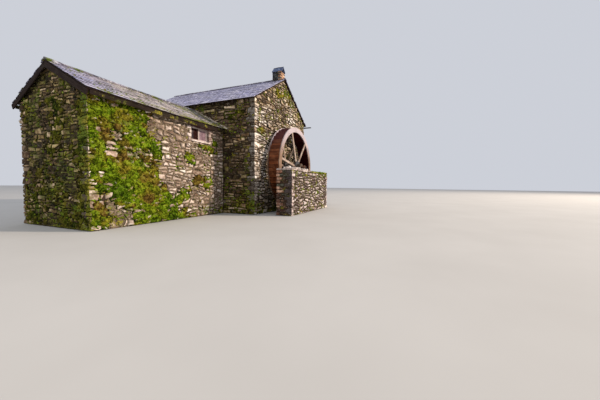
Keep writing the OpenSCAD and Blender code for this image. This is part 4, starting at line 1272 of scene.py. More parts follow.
def jambs(pile, seed):
    """Limewashed stones beside the window, which turn into its opening; returns their places."""
    rng = np.random.default_rng(seed)
    places = []
    step = (win_hi.z - sill_lo.z) / JAMB_STONES
    for side, x in ((-1, win_lo.x), (1, win_hi.x)):
        for i in range(JAMB_STONES):
            wide = (0.22 if i % 2 else 0.13) * rng.uniform(0.85, 1.15)
            z0 = sill_lo.z + i * step
            block(pile, (x - side * 0.006, range_y0 - 0.003, z0 + JOINT / 4),
                  (x + side * wide, range_y0 + REVEAL - 0.004, z0 + step - JOINT / 4), rng,
                  soft=0.014, rough=0.003, skew=0.004, parts=(2, 1, 1))
            u0, u1 = sorted((x, x + side * wide))
            places.append(rectangle(u0, u1, z0, z0 + step))
    return places


def range_walls():
    front, rear, side, lime = Pile(), Pile(), Pile(), Pile()
    top, finish = range_quoin_top, range_eave - UNDER_EAVE
    # The corner's gable-side faces carry painted shade
    front_corner = quoins(front, (range_x0, range_y0), (0, 1), (1, 0), top, 15, finish=finish,
                          mossy=low_and_left, painted_shade_face=(0, 0, 0.22))
    rear_corner = quoins(rear, (range_x0, range_y1), (0, -1), (1, 0), top, 16, finish=finish,
                         mossy=shaded_wall)
    holes = [*opening(win_lo.x, win_hi.x, sill_lo.z, win_hi.z), *jambs(lime, 28),
             *corner_holes(front_corner, range_x0, [], range_x1, SECOND)]
    rubble(front, (0, range_y0, 0), (1, 0, 0), rectangle(range_x0, range_x1, 0, range_eave),
           0.30, 0.165, 25, low_and_left, holes, tilt=0.20, spread=0.012, soft=0.030, round_=0.7,
           joint=0.026)
    # On the rear wall u runs towards -X
    holes = [*opening(-win_hi.x, -win_lo.x, sill_lo.z, win_hi.z),
             *opening(-door_hi.x, -door_lo.x, -1, door_hi.z),
             *corner_holes([], -range_x1, rear_corner, -range_x0, SECOND)]
    rubble(rear, (0, range_y1, 0), (-1, 0, 0), rectangle(-range_x1, -range_x0, 0, range_eave),
           0.36, 0.18, 26, shaded_wall, holes)
    holes = corner_holes(rear_corner, -range_half, front_corner, range_half, FIRST)
    rubble(side, (range_x0, range_mid, 0), (0, -1, 0), pointed(range_half, range_eave, range_apex),
           0.27, 0.12, 27, side_wall, holes, tilt=0.09, spread=0.012)
    front.build("range_front_stones", range_stone, "range_rubble", crisp=WORN_CRISP)
    rear.build("range_rear_stones", shaded_stone, "range_rubble", crisp=STONE_CRISP)
    side.build("range_gable_stones", side_stone, "mossy_rubble", crisp=STONE_CRISP)
    lime.build("window_jambs", lime_stone, "range_rubble", crisp=BLOCK_CRISP)
    at_front, at_rear = (1, range_y0, RECESS), (1, range_y1, -RECESS)
    recessed("range_front_mortar", "range_front_wall", [at_front], sandy_mortar, "range_rubble")
    recessed("range_rear_mortar", "range_rear_wall", [at_rear], earth_mortar, "range_rubble")
    recessed("range_gable_mortar", "range_gable", [(0, range_x0, RECESS), at_front, at_rear],
             earth_mortar, "mossy_rubble")


def pit():
    lit, dark = Pile(), Pile()
    x0, x1, y0, y1, z1 = pit_lo.x, pit_hi.x, pit_lo.y, pit_hi.y, pit_hi.z
    # The front corners' end faces carry painted shade
    front_left = quoins(lit, (x0, y0), (1, 0), (0, 1), z1, 31, painted_shade_face=(0, 0, 0.25), **PIT_CORNER)
    front_right = quoins(lit, (x1, y0), (-1, 0), (0, 1), z1, 32, painted_shade_face=(0, 1, 0.25), **PIT_CORNER)
    rear_left = quoins(dark, (x0, y1), (1, 0), (0, -1), z1, 33, **PIT_CORNER)
    rear_right = quoins(dark, (x1, y1), (-1, 0), (0, -1), z1, 34, **PIT_CORNER)
    rubble(lit, (0, y0, 0), (1, 0, 0), rectangle(x0, x1, 0, z1), 0.38, 0.16, 35, top_of_pit,
           corner_holes(front_left, x0, front_right, x1, FIRST), tilt=0.24, spread=0.012,
           proud=-0.014, soft=0.040, round_=0.8, pins=0.12, joint=0.040)
    rubble(dark, (0, y1, 0), (-1, 0, 0), rectangle(-x1, -x0, 0, z1), 0.34, 0.15, 36, shaded_wall,
           corner_holes(rear_right, -x1, rear_left, -x0, FIRST))
    half = (y1 - y0) / 2
    # u runs towards -Y on the left end and towards +Y on the right end
    for x, way, seed, first, last, spread in ((x0, -1, 37, rear_left, front_left, 0.012),
                                              (x1, 1, 38, front_right, rear_right, 0.010)):
        rubble(dark, (x, (y0 + y1) / 2, 0), (0, way, 0), rectangle(-half, half, 0, z1), 0.34,
               0.085, seed, end_of_pit, corner_holes(first, -half, last, half, SECOND),
               tilt=0.04, spread=spread, tone=slab_tone)
    lit.build("pit_front_stones", pit_stone, "pit_rubble")
    dark.build("pit_side_stones", pit_side_stone, "pit_rubble", crisp=STONE_CRISP)
    recessed("pit_mortar", "pit_wall", [(0, x0, RECESS), (0, x1, -RECESS), (1, y0, RECESS),
                                        (1, y1, -RECESS)], earth_mortar, "pit_rubble")


def pit_top():
    """Coping slabs of uneven depth, mossy towards the right, and the blocks under the bearings."""
    rng = np.random.default_rng(41)
    pile = Pile()
    step = (coping_hi.x - coping_lo.x) / COPINGS
    x = coping_lo.x
    for i in range(COPINGS):
        wide = step * (1 + (rng.uniform(-0.14, 0.14) if i < COPINGS - 1 else 0))
        end = min(x + wide, coping_hi.x) if i < COPINGS - 1 else coping_hi.x
        place = (x + end) / 2
        low = (x, coping_lo.y + rng.uniform(0.0, 0.02), coping_lo.z + 0.004)
        high = (end - 0.012, coping_hi.y - rng.uniform(0.0, 0.02),
                coping_hi.z - rng.uniform(0.002, 0.012))
        block(pile, low, high, rng, soft=0.020, rough=0.003, skew=0.006, parts=(4, 5, 1),
              moss=0.12 + 0.55 * ease(place, -1.3, 0.2) + 0.12 * (place < -2.4))
        x = end
    pile.build("coping_slabs", pit_stone, "coping_stone", ["pit_coping"], crisp=BLOCK_CRISP)
    edge = Pile()
    for _ in range(LOOSE_STONES):
        x, y = rng.uniform(-2.55, -0.30), coping_lo.y + 0.10 + abs(rng.normal(0, 0.14))
        wide, deep, tall = rng.uniform(0.09, 0.26), rng.uniform(0.08, 0.18), rng.uniform(0.04, 0.11)
        block(edge, (x - wide / 2, y - deep / 2, coping_hi.z - 0.012),
              (x + wide / 2, y + deep / 2, coping_hi.z + tall), rng, soft=0.03, rough=0.005,
              skew=0.012, parts=(2, 2, 1), moss=0.10, tint=rng.choice([0.38, 0.72, 1.0]),
              turn=(rng.uniform(0, 3.1), "Z"))
    edge.build("loose_top_stones", pit_stone, "coping_stone", crisp=BLOCK_CRISP)
    stones = Pile()
    low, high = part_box("bearing_stones")
    out_lo, out_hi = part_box("outer_bearing")
    in_lo, in_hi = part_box("inner_bearing")
    outer, inner = (out_lo.y + out_hi.y) / 2, (in_lo.y + in_hi.y) / 2
    reach = outer - low.y
    for y, bed, bearing, moss, tint in (
            (outer, coping_hi.z - 0.012, out_lo.z, 0.15, 0.3),
            (inner, axle_z - SHAFT_HOLE / 2, in_lo.z, 0.1, 0.6)):
        block(stones, (low.x, y - reach, bed), (high.x, y + reach, bearing), rng, soft=0.014,
              rough=0.001, skew=0.0, parts=(4, 3, 3), moss=moss, tint=tint)
    stones.build("bearing_blocks", pit_stone, "coping_stone", ["bearing_stones"],
                 crisp=BLOCK_CRISP)


# Roofs

SLATE_T = 0.011
SLATE_WIDTHS = (0.20, 0.42)
LEAST_SLATE = 0.14
LAP = 0.07
CORE_DOWN = 0.030
CORE_IN = 0.030
RIDGE_GAP = 0.006
SAG = 0.030


def slope(axis, centre, side, edge, z_edge, tan):
    """Turns (along the ridge, up the slope, out of it) into a point of one roof slope."""
    cos = 1 / math.hypot(1, tan)
    sin = tan * cos

    def place(u, s, n):
        level = centre + side * (edge - s * cos + n * sin)
        z = z_edge + s * sin + n * cos
        return np.column_stack([level, u, z] if axis == "y" else [u, level, z])

    return place


def slates(pile, place, ends, long, top, seed, mossy, verges):
    """Courses of slates up one slope; the first course lies on a course of short ones."""
    rng = np.random.default_rng(seed)
    courses = int((long - RIDGE_LEG) / COURSE)
    rows = [(0.004, COURSE * 0.8, top - 0.0125, 0.0)]
    rows += [(i * COURSE, min((i + 1) * COURSE + LAP, long - 0.02), top, SLATE_STEP)
             for i in range(courses + 1)]
    for s0, s1, height, fall in rows:
        u = ends[0] + verges[0] * abs(rng.normal(0, 0.016))
        last = ends[1] - verges[1] * abs(rng.normal(0, 0.016))
        while u < last - 0.05:
            wide = rng.uniform(*SLATE_WIDTHS)
            end = last if u + wide > last - LEAST_SLATE else u + wide
            middle = place(np.array([(u + end) / 2]), s0 + COURSE / 2, top)[0]
            base = mossy(middle, s0 / long)
            slip = abs(rng.normal(0, 0.004)) + (0.018 if rng.random() < 0.03 else 0)
            slab(pile, place, (u + 0.002, end - 0.002), (s0 - slip * (s0 > 0.1), s1),
                 height + rng.normal(0.0005, 0.0012), SLATE_T, rng,
                 across=3, along=2, ragged=0.0035, rough=0.0007, lean=rng.normal(0, 0.0022),
                 drop=fall * (s1 - s0) / COURSE,
                 moss=lambda share, base=base: base + 0.16 * np.clip(1.3 * share - 0.2, 0, 1))
            u = end


def core(pile, place, ends, long, top, rng, verges):
    """Boards under the slates, set back from the eave and verge, and cut at the ridge."""
    u0, u1 = ends[0] + CORE_IN * verges[0], ends[1] - CORE_IN * verges[1]
    stops = np.linspace(CORE_IN, long - 0.004, 9)
    for a, b in zip(stops[:-1], stops[1:]):
        slab(pile, place, (u0, u1), (a + 0.001, b - 0.001), top - CORE_DOWN,
             top - CORE_DOWN - 0.0005, rng, across=6, along=1, ragged=0.0, rough=0.0, chip=0.0)


def ridge(pile, axis, u0, u1, count, centre, crest, tan, rng, moss):
    """Bent ridge stones in a row, each a little out of line with the next."""
    cos = 1 / math.hypot(1, tan)
    sin = tan * cos
    x, drop = RIDGE_LEG * cos, RIDGE_LEG * sin
    step = (u1 - u0) / count
    for i in range(count):
        t = RIDGE_T * rng.uniform(0.85, 1.05)
        profile = [(x + t * sin, t * cos - drop), (0, t / cos), (-x - t * sin, t * cos - drop),
                   (-x, -drop), (0, 0), (x, -drop)]
        shift = (centre + rng.normal(0, 0.003), crest + 0.001 + abs(rng.normal(0, 0.0015)))
        profile = [(a + shift[0], b + shift[1]) for a, b in profile]
        prism(pile, profile, axis, u0 + i * step, u0 + (i + 1) * step - RIDGE_GAP, rng, cut=0.006,
              rough=0.0018, parts=2, moss=moss + rng.normal(0, 0.05))


def mill_slope(side):
    return slope("y", 0.0, side, mill_edge, mill_apex - mill_edge * mill_tan, mill_tan)


def range_slope(side):
    return slope("x", range_mid, side, range_edge, range_apex - range_edge * range_tan, range_tan)


def range_sag(x):
    """How far the range's old roof has sunk between its gable and the mill."""
    share = np.clip((x - range_roof_lo.x) / (range_x1 - range_roof_lo.x), 0, 1)
    return SAG * np.sin(np.pi * share) ** 1.2


def mill_moss(_, rise):
    """A little more moss at the eave and the ridge."""
    return 0.14 + 0.10 * max(0.0, 1 - 6 * rise) + 0.06 * (rise > 0.85)


def range_moss(p, rise):
    """More moss near the eave and the ridge, and beside the mill."""
    near = ease(p[0], -6.0, -3.2)
    return 0.20 + 0.22 * max(0.0, 1 - 4 * rise) + 0.12 * (rise > 0.75) + 0.18 * near


def roofs():
    rng = np.random.default_rng(51)
    mill_ends, range_ends = (front_y - VERGE, back_y + VERGE), (range_x0 - VERGE, range_x1)
    for name, lay, long, top, ends, verges, mossy, paint, nodes, sag, seed in (
            ("mill", mill_slope, mill_edge / mill_cos, mill_roof_t, mill_ends, (1, 1), mill_moss,
             mill_slate, ["mill_roof_left", "mill_roof_right"], None, 52),
            ("range", range_slope, range_edge / range_cos, range_roof_t, range_ends, (1, 0),
             range_moss, range_slate, ["range_roof_front", "range_roof_rear"], range_sag, 54)):
        under, pile = Pile(), Pile()
        for i, side in enumerate((-1, 1)):
            slates(pile, lay(side), ends, long, top, seed + i, mossy, verges)
            core(under, lay(side), ends, long, top, rng, verges)
        pile.build(name + "_slates", paint, "roof_slate", nodes, crisp=SLATE_CRISP, sag=sag)
        # The boards under the slates take the near-black barge wood: painted shade under the eaves
        under.build(name + "_roof_boards", barge_wood, "roof_slate", crisp=SLATE_CRISP, sag=sag)
    crests = Pile()
    crest = mill_apex + mill_roof_t / mill_cos
    for start, end, count in ((mill_ends[0], stack_lo.y, 1),
                              (stack_hi.y + 0.004, mill_ends[1], 17)):
        ridge(crests, "y", start, end, count, 0.0, crest, mill_tan, rng, 0.2)
    crests.build("mill_ridge", ridge_slate, "ridge_stone", ["mill_ridge_stones"],
                 crisp=RIDGE_CRISP)
    crests = Pile()
    crest = range_apex + range_roof_t / range_cos
    ridge(crests, "x", range_ends[0], range_x1 - FILLET, 14, range_mid, crest, range_tan, rng,
          0.34)
    crests.build("range_ridge", ridge_slate, "ridge_stone", ["range_ridge_stones"],
                 crisp=RIDGE_CRISP, sag=range_sag)


def fillet():
    """The band of mortar where the range's slates meet the mill, pressed on by hand."""
    rng = np.random.default_rng(56)
    pile = Pile()
    form = np.array([(0.0, 0.0), (-1.0, 0.0), (-0.75, 0.20), (-0.45, 0.42), (-0.20, 0.75),
                     (0.0, 1.0)])
    sunk = np.array([(0, -0.004), (0, -0.004), (0, 0), (0, 0), (0, 0), (0, 0)])
    free = [[0], [1], [1], [1], [1], [0]]
    for side in (-1, 1):
        place = range_slope(side)
        rings = []
        for s in np.linspace(0.0, range_edge / range_cos - 0.01, 24):
            size = FILLET * rng.uniform(0.75, 1.0), FILLET * rng.uniform(0.75, 1.0)
            flat = form * size + sunk + rng.normal(0, 0.0015, form.shape) * free
            rings.append(place(range_x1 + flat[:, 0], np.full(len(form), s),
                               range_roof_t + flat[:, 1]))
        pile.loft(rings)
    pile.build("mortar_band", lime_mortar, "lime_mortar", ["mortar_fillet"], sag=range_sag)


# Chimney

STACK_STONE = dict(soft=0.010, rough=0.002, skew=0.003)
STACK_COURSES = (0.045, 0.095)
STACK_JOINT = 0.003
STACK_RECESS = 0.014


def stack_course(warm, dark, low, high, wall, turned, shade, rng):
    """One course of the stack's four walls. The front's stones are warm, the others dark slate with
    painted shade; turned courses run through at the front and back, the others at the sides."""
    half, y0, y1 = stack_hi.x, stack_lo.y, stack_hi.y
    for side in (-1, 1):
        y_out = y0 if side < 0 else y1
        reach = half if turned else half - wall
        stops = [-reach, rng.uniform(-0.1, 0.1), reach]
        for a, b in zip(stops[:-1], stops[1:]):
            outer = y_out - side * rng.uniform(0, 0.006)
            block(warm if side < 0 else dark, (a + STACK_JOINT, outer, low),
                  (b - STACK_JOINT, y_out - side * wall, high), rng, parts=(2, 1, 1), moss=0.05,
                  **STACK_STONE)
        back = wall if turned else 0
        cut = (y0 + y1) / 2 + rng.uniform(-0.08, 0.08)
        for a, b in ((y0 + back, cut), (cut, y1 - back)):
            outer = side * half - side * rng.uniform(0, 0.006)
            block(dark, (outer, a + STACK_JOINT, low),
                  (side * (half - wall), b - STACK_JOINT, high), rng, parts=(1, 2, 1),
                  moss=0.22 if shade is None else 0.0, tint=shade, **STACK_STONE)


def chimney():
    rng = np.random.default_rng(61)
    warm, dark = Pile(), Pile()
    half, top = stack_hi.x, stack_hi.z
    z, turned = stack_lo.z - 0.02, False
    while z < top - 0.02:
        tall = min(rng.uniform(*STACK_COURSES), top - z)
        if top - z - tall < 0.03:
            tall = top - z
        low, high = z + STACK_JOINT, z + tall - STACK_JOINT
        # The side stones of the top course are the darkest: painted shadow under the cap slates
        shade = 0.0 if high > top - 0.06 else None
        stack_course(warm, dark, low, high, (half - FLUE / 2) - 0.004, turned, shade, rng)
        z += tall
        turned = not turned
    warm.build("stack_front_stones", chimney_stone, "chimney_stone", crisp=STACK_CRISP)
    dark.build("stack_stones", shaded_slate_stone, "chimney_stone", crisp=STACK_CRISP)
    recessed("stack_mortar", "chimney_stack",
             [(0, -half, STACK_RECESS), (0, half, -STACK_RECESS), (1, stack_lo.y, STACK_RECESS),
              (1, stack_hi.y, -STACK_RECESS), (2, top, -0.006)], earth_mortar, "chimney_stone")
    caps = Pile()
    length = half / math.cos(CAP_LEAN)
    for side in (-1, 1):
        slab(caps, slope("y", 0.0, side, half, top, math.tan(CAP_LEAN)), (cap_lo.y, cap_hi.y),
             (0.006, length - 0.006), -0.002, CAP_T - 0.008, rng, across=6, along=4, ragged=0.006,
             rough=0.0012, chip=0.02, moss=0.15)
    caps.build("cap_slates", cap_slate, "roof_slate", ["chimney_slates"], crisp=WOOD_CRISP)


# Timber of the roofs

RAFTER_W = 0.065
RAFTER_PITCH = 0.62
FOOT_BACK = 0.035


def bays(a, b, limit):
    count = math.ceil((b - a) / limit - 1e-6)
    return [a + (b - a) * i / count for i in range(1, count)]


def eave_timber():
    """Rafter feet, the range's eave boards and its bargeboards."""
    rng = np.random.default_rng(71)
    feet, sunk = Pile(), Pile()
    for side in (-1, 1):
        for pile, place, cos, overhang, spots, across in (
                (feet, mill_slope(side), mill_cos, mill_edge - mill_half,
                 bays(front_y + mill_wall, back_y - mill_wall, RAFTER_PITCH), (0, 1, 0)),
                (sunk, range_slope(side), range_cos, range_edge - range_half,
                 bays(range_x0 + range_wall, range_x1, RAFTER_PITCH), (1, 0, 0))):
            ends = np.array([FOOT_BACK / cos, overhang / cos + 0.02])
            for at in spots:
                low, high = place(np.full(2, at), ends, np.full(2, -RAFTER / 2 + 0.001))
                bar(pile, low, high, across, RAFTER_W, RAFTER - 0.004, rng, cut=0.006, parts=1)
    feet.build("mill_rafter_feet", board_wood, "old_timber", ["rafter_feet"], crisp=WOOD_CRISP)
    sunk.build("range_rafter_feet", board_wood, "old_timber", crisp=WOOD_CRISP, sag=range_sag)
    boards, barge = Pile(), Pile()
    for side in (-1, 1):
        y = range_mid + side * (range_edge - EAVE_BOARD / 2)
        z = range_apex - (range_edge - EAVE_BOARD / 2) * range_tan - FASCIA / 2 - 0.008
        # Each eave board is two lengths that meet near the middle
        joint = range_x0 + 0.52 * (range_x1 - range_x0)
        for a, b in ((range_x0 - 0.02, joint - 0.002), (joint + 0.002, range_x1 - 0.005)):
            bar(boards, (a, y, z), (b, y, z), (0, 1, 0), EAVE_BOARD - 0.004, FASCIA - 0.006, rng,
                cut=0.005, parts=12, rough=0.0025, moss=0.4)
        x = range_x0 - VERGE + EAVE_BOARD / 2
        deep = BARGE / 2 / range_cos
        foot = range_edge - 0.005
        bar(barge, (x, range_mid + side * 0.004, range_apex - deep - 0.004),
            (x, range_mid + side * foot, range_apex - foot * range_tan - deep - 0.004),
            (1, 0, 0), EAVE_BOARD, BARGE - 0.004, rng, cut=0.005, parts=8, rough=0.002)
    boards.build("eave_boards", mossy_wood, "mossy_board", ["range_eave_boards"],
                 crisp=WOOD_CRISP, sag=range_sag)
    barge.build("barge_boards", barge_wood, "dark_board", ["range_bargeboards"],
                crisp=WOOD_CRISP, sag=range_sag)


# Window and door

GLAZING = 0.024
THROUGH = (0, 1, 0)


def casement(panes, strips, a, b, line, low, high, rng):
    """A pane between two uprights, with a strip of wood along each of its edges."""
    block(panes, (a + 0.0005, line - GLASS / 2, low + 0.0005),
          (b - 0.0005, line + GLASS / 2, high - 0.0005), rng, soft=0.001, rough=0.0, skew=0.0)
    y = line - GLAZING / 2
    ends = [((a, y, z), (b, y, z)) for z in (low + GLAZING / 2, high - GLAZING / 2)]
    ends += [((x, y, low + GLAZING), (x, y, high - GLAZING))
             for x in (a + GLAZING / 2, b - GLAZING / 2)]
    for start, end in ends:
        bar(strips, start, end, THROUGH, 0.016, GLAZING, rng, cut=0.003, parts=3, rough=0.0004)


def window_parts():
    """The front window and its mirror at the rear, with the three lintels of the range."""
    rng = np.random.default_rng(81)
    wood, red, dark, grey, sills, beams = (Pile() for _ in range(6))
    x0, x1, z0, z1 = win_lo.x, win_hi.x, win_lo.z, win_hi.z
    middle = (x0 + x1) / 2
    low, high = z0 + FRAME_FACE, z1 - FRAME_FACE
    depth = FRAME_DEPTH - 0.002
    for y in (range_y0 + REVEAL, range_y1 - REVEAL - FRAME_DEPTH):
        line = y + FRAME_DEPTH / 2
        for z in (z0 + FRAME_FACE / 2, z1 - FRAME_FACE / 2):
            bar(wood, (x0 + 0.001, line, z), (x1 - 0.001, line, z), THROUGH, depth, FRAME_FACE,
                rng, cut=0.004, parts=6, rough=0.0006)
        for x, face in ((x0 + FRAME_FACE / 2, FRAME_FACE), (middle, MULLION),
                        (x1 - FRAME_FACE / 2, FRAME_FACE)):
            bar(wood, (x, line, low - 0.002), (x, line, high + 0.002), THROUGH, depth - 0.003,
                face, rng, cut=0.004, parts=4, rough=0.0006)
        # The left pane's strips take dark lintel wood, so that its painted shade reads wider
        casement(dark, red, x0 + FRAME_FACE, middle - MULLION / 2, line, low, high, rng)
        casement(grey, wood, middle + MULLION / 2, x1 - FRAME_FACE, line, low, high, rng)
    wood.build("window_timber", painted_wood, "painted_frame", ["window_frames"],
               crisp=WOOD_CRISP)
    red.build("left_casements", lintel_wood, "painted_frame", crisp=WOOD_CRISP)
    dark.build("left_panes", dark_pane, "window_glass", ["window_panes"])
    grey.build("right_panes", grey_pane, "window_glass")
    for face, out in ((range_y0, -1), (range_y1, 1)):
        block(sills, (x0 + 0.002, face + out * sill_out, sill_lo.z + 0.002),
              (x1 - 0.002, face - out * (REVEAL + FRAME_DEPTH), sill_hi.z), rng, soft=0.010,
              rough=0.001, skew=0.001, parts=(8, 3, 1), moss=0.05, tint=0.75)
    sills.build("sill_stones", pit_stone, "sill_stone", ["window_sills"], crisp=BLOCK_CRISP)
    for a, b, z, face, out in ((x0, x1, z1, range_y0, -1), (x0, x1, z1, range_y1, 1),
                               (door_lo.x, door_hi.x, door_hi.z, range_y1, 1)):
        # Two timbers side by side carry the wall over each opening
        for near, far in ((face - out * 0.004, face - out * range_wall * 0.48),
                          (face - out * range_wall * 0.50, face - out * range_wall)):
            line = (near + far) / 2
            bar(beams, (a - lintel_rest + 0.004, line, z + lintel_h / 2),
                (b + lintel_rest - 0.004, line, z + lintel_h / 2), THROUGH, abs(far - near),
                lintel_h - 0.006, rng, cut=0.010, parts=8, rough=0.0025)
    beams.build("lintel_timbers", lintel_wood, "lintel_timber", ["timber_lintels"],
                crisp=BEAM_CRISP)


def stud(pile, centre, axis, radius, height):
    """A round head of a nail or bolt that stands out along an axis."""
    axis = np.array(axis, float)
    side = unit(np.cross(axis, (0.31, 0.77, 0.55)))
    turn = np.linspace(0, 2 * np.pi, 8, endpoint=False)
    ring = np.outer(np.cos(turn), side) + np.outer(np.sin(turn), np.cross(axis, side))
    rings = [np.array(centre) + radius * share * ring + axis * height * lift
             for share, lift in ((1.0, -0.4), (1.0, 0.45), (0.72, 0.85), (0.30, 1.0))]
    pile.loft(rings)


PLANKS = 6
PLANK_T = 0.040
LEDGE_IN = 0.21
LEDGE_HIGH = 0.138
LEDGE_T = 0.027
NAIL_SHIFT = 0.035


def door_parts():
    """The door's frame, its planks and ledges, and two nails where each plank meets a ledge."""
    rng = np.random.default_rng(82)
    low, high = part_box("plank_door")
    posts, leaf, nails = Pile(), Pile(), Pile()
    line = (door_lo.y + door_hi.y) / 2
    depth = door_hi.y - door_lo.y - 0.002
    head = door_hi.z - FRAME_FACE / 2
    for start, end, parts in (
            *(((x, line, 0.0), (x, line, door_hi.z - FRAME_FACE), 6)
              for x in (door_lo.x + FRAME_FACE / 2, door_hi.x - FRAME_FACE / 2)),
            ((door_lo.x, line, head), (door_hi.x, line, head), 4)):
        bar(posts, start, end, THROUGH, depth, FRAME_FACE, rng, cut=0.006, parts=parts,
            rough=0.001)
    posts.build("door_posts", door_wood, "dark_board", ["door_frame"], crisp=WOOD_CRISP)
    step = (high.x - low.x) / PLANKS
    y = high.y - PLANK_T / 2
    ledges = [LEDGE_IN, LEDGE_IN + (high.z - 2 * LEDGE_IN) / 2, high.z - LEDGE_IN]
    for i in range(PLANKS):
        x = low.x + (i + 0.5) * step
        bar(leaf, (x, y, low.z + rng.uniform(0, 0.006)), (x, y, high.z), THROUGH,
            PLANK_T - rng.uniform(0.001, 0.004), step - 0.004, rng, cut=0.005, parts=5,
            rough=0.0008)
        for z in ledges:
            for shift in (-NAIL_SHIFT, NAIL_SHIFT):
                stud(nails, (x + rng.normal(0, 0.012), high.y - 0.0015, z + shift), THROUGH,
                     0.008, 0.0035)
    for z in ledges:
        bar(leaf, (low.x + 0.056, low.y + 0.014, z), (high.x - 0.056, low.y + 0.014, z), THROUGH,
            LEDGE_T, LEDGE_HIGH, rng, cut=0.006, parts=4, rough=0.001)
    leaf.build("door_planks", door_wood, "door_timber", ["plank_door"], crisp=WOOD_CRISP)
    nails.build("door_nails", black_iron, "wheel_iron")


# Waterwheel

WHEEL = "waterwheel"
# The felloes' bolts: their angle from a joint, and how far in from the rim's two edges
BOLT_ANGLE = 0.045
BOLT_IN = 0.07
# The bolts of an arm in its socket: from the axle, from the arm's middle, and out of its faces
SOCKET_BOLT_R = 0.28
SOCKET_BOLT_SIDE = 0.030
SOCKET_FACE = 0.038
BOLT_HIGH = 0.010
# Where the slanting side of a bucket is joined, as a share of its length
BUCKET_SPLIT = 0.47
# The gap between the drum's boards and the rims
RIM_GAP = 0.0005


def eased(profile, cut):
    """Cuts the corners of a board's section."""
    points = []
    for i, here in enumerate(profile):
        here = np.array(here)
        for other in (profile[i - 1], profile[(i + 1) % len(profile)]):
            way = np.array(other) - here
            points.append(here + way * min(cut / np.linalg.norm(way), 0.3))
    return points


def polar(radius, angle):
    return (radius * math.cos(angle), axle_z + radius * math.sin(angle))


def felloe(pile, y0, y1, a0, a1, rng, steps=7):
    """One curved length of a rim, its corners eased and its face a little uneven."""
    section = chamfered(RIM_DEPTH, y1 - y0, 0.007)
    small = chamfered(RIM_DEPTH - 0.008, y1 - y0 - 0.008, 0.004)
    end_angle = 0.003 / wheel_r
    stops = np.linspace(a0 + end_angle, a1 - end_angle, steps)
    shift = grain_shift(rng)
    rings, grain = [], []
    thinner = abs(rng.normal(0, 0.0012))
    for k, angle in enumerate([a0, *stops, a1]):
        ring = small if k in (0, steps + 1) else section + rng.normal(0, 0.0009, section.shape)
        radius = rim_in + RIM_DEPTH / 2 + ring[:, 0] - thinner * np.sign(ring[:, 0])
        rings.append(np.column_stack([radius * math.cos(angle), (y0 + y1) / 2 + ring[:, 1],
                                      axle_z + radius * math.sin(angle)]))
        grain.append(np.column_stack([np.full(8, angle * rim_in), ring]) + shift)
    pile.loft(rings, rng.random(), grain=grain)


def rims_and_arms(rng):
    """The two sides of the wheel, with the bolts at the felloes' joints and in the sockets."""
    bolts = Pile()
    felloes = 2 * ARMS
    turn = 2 * math.pi / felloes
    gap = 0.0016 / wheel_r
    for name, y0, y1, out in (("front", rim_lo.y, rim_hi.y, -1),
                              ("rear", rear_rim_lo.y, rear_rim_hi.y, 1)):
        rim, arms = Pile(), Pile()
        for i in range(felloes):
            start = ARM_PHASE + (i + 0.5) * turn
            felloe(rim, y0, y1, start + gap, start + turn - gap, rng)
            for side in (-1, 1):
                for radius in (rim_in + BOLT_IN, wheel_r - BOLT_IN):
                    x, z = polar(radius, start + side * BOLT_ANGLE)
                    stud(bolts, (x, y0 if out < 0 else y1, z), (0, out, 0), 0.013, BOLT_HIGH)
        for i in range(ARMS):
            angle = ARM_PHASE + i * 2 * math.pi / ARMS
            way = np.array([math.cos(angle), 0, math.sin(angle)])
            across = np.array([-math.sin(angle), 0, math.cos(angle)])
            centre = np.array([0, (y0 + y1) / 2, axle_z])
            bar(arms, centre + way * (ARM_ROOT + 0.001), centre + way * (rim_in - 0.001),
                THROUGH, y1 - y0 - 0.002, ARM_WIDTH - 0.002, rng, cut=0.007, parts=7,
                rough=0.0010)
            for side in (-1, 1):
                x, _, z = centre + way * SOCKET_BOLT_R + across * side * SOCKET_BOLT_SIDE
                for face, way_out in ((y0 - SOCKET_FACE, -1), (y1 + SOCKET_FACE, 1)):
                    stud(bolts, (x, face, z), (0, way_out, 0), 0.012, BOLT_HIGH)
        rim.build("felloes_" + name, rim_wood, "pale_timber", ["rim_" + name], crisp=WOOD_CRISP,
                  body=WHEEL)
        arms.build("spokes_" + name, pale_wood, "pale_timber", ["arms_" + name],
                   crisp=WOOD_CRISP, body=WHEEL)
    bolts.build("wheel_bolts", black_iron, "wheel_iron", body=WHEEL)


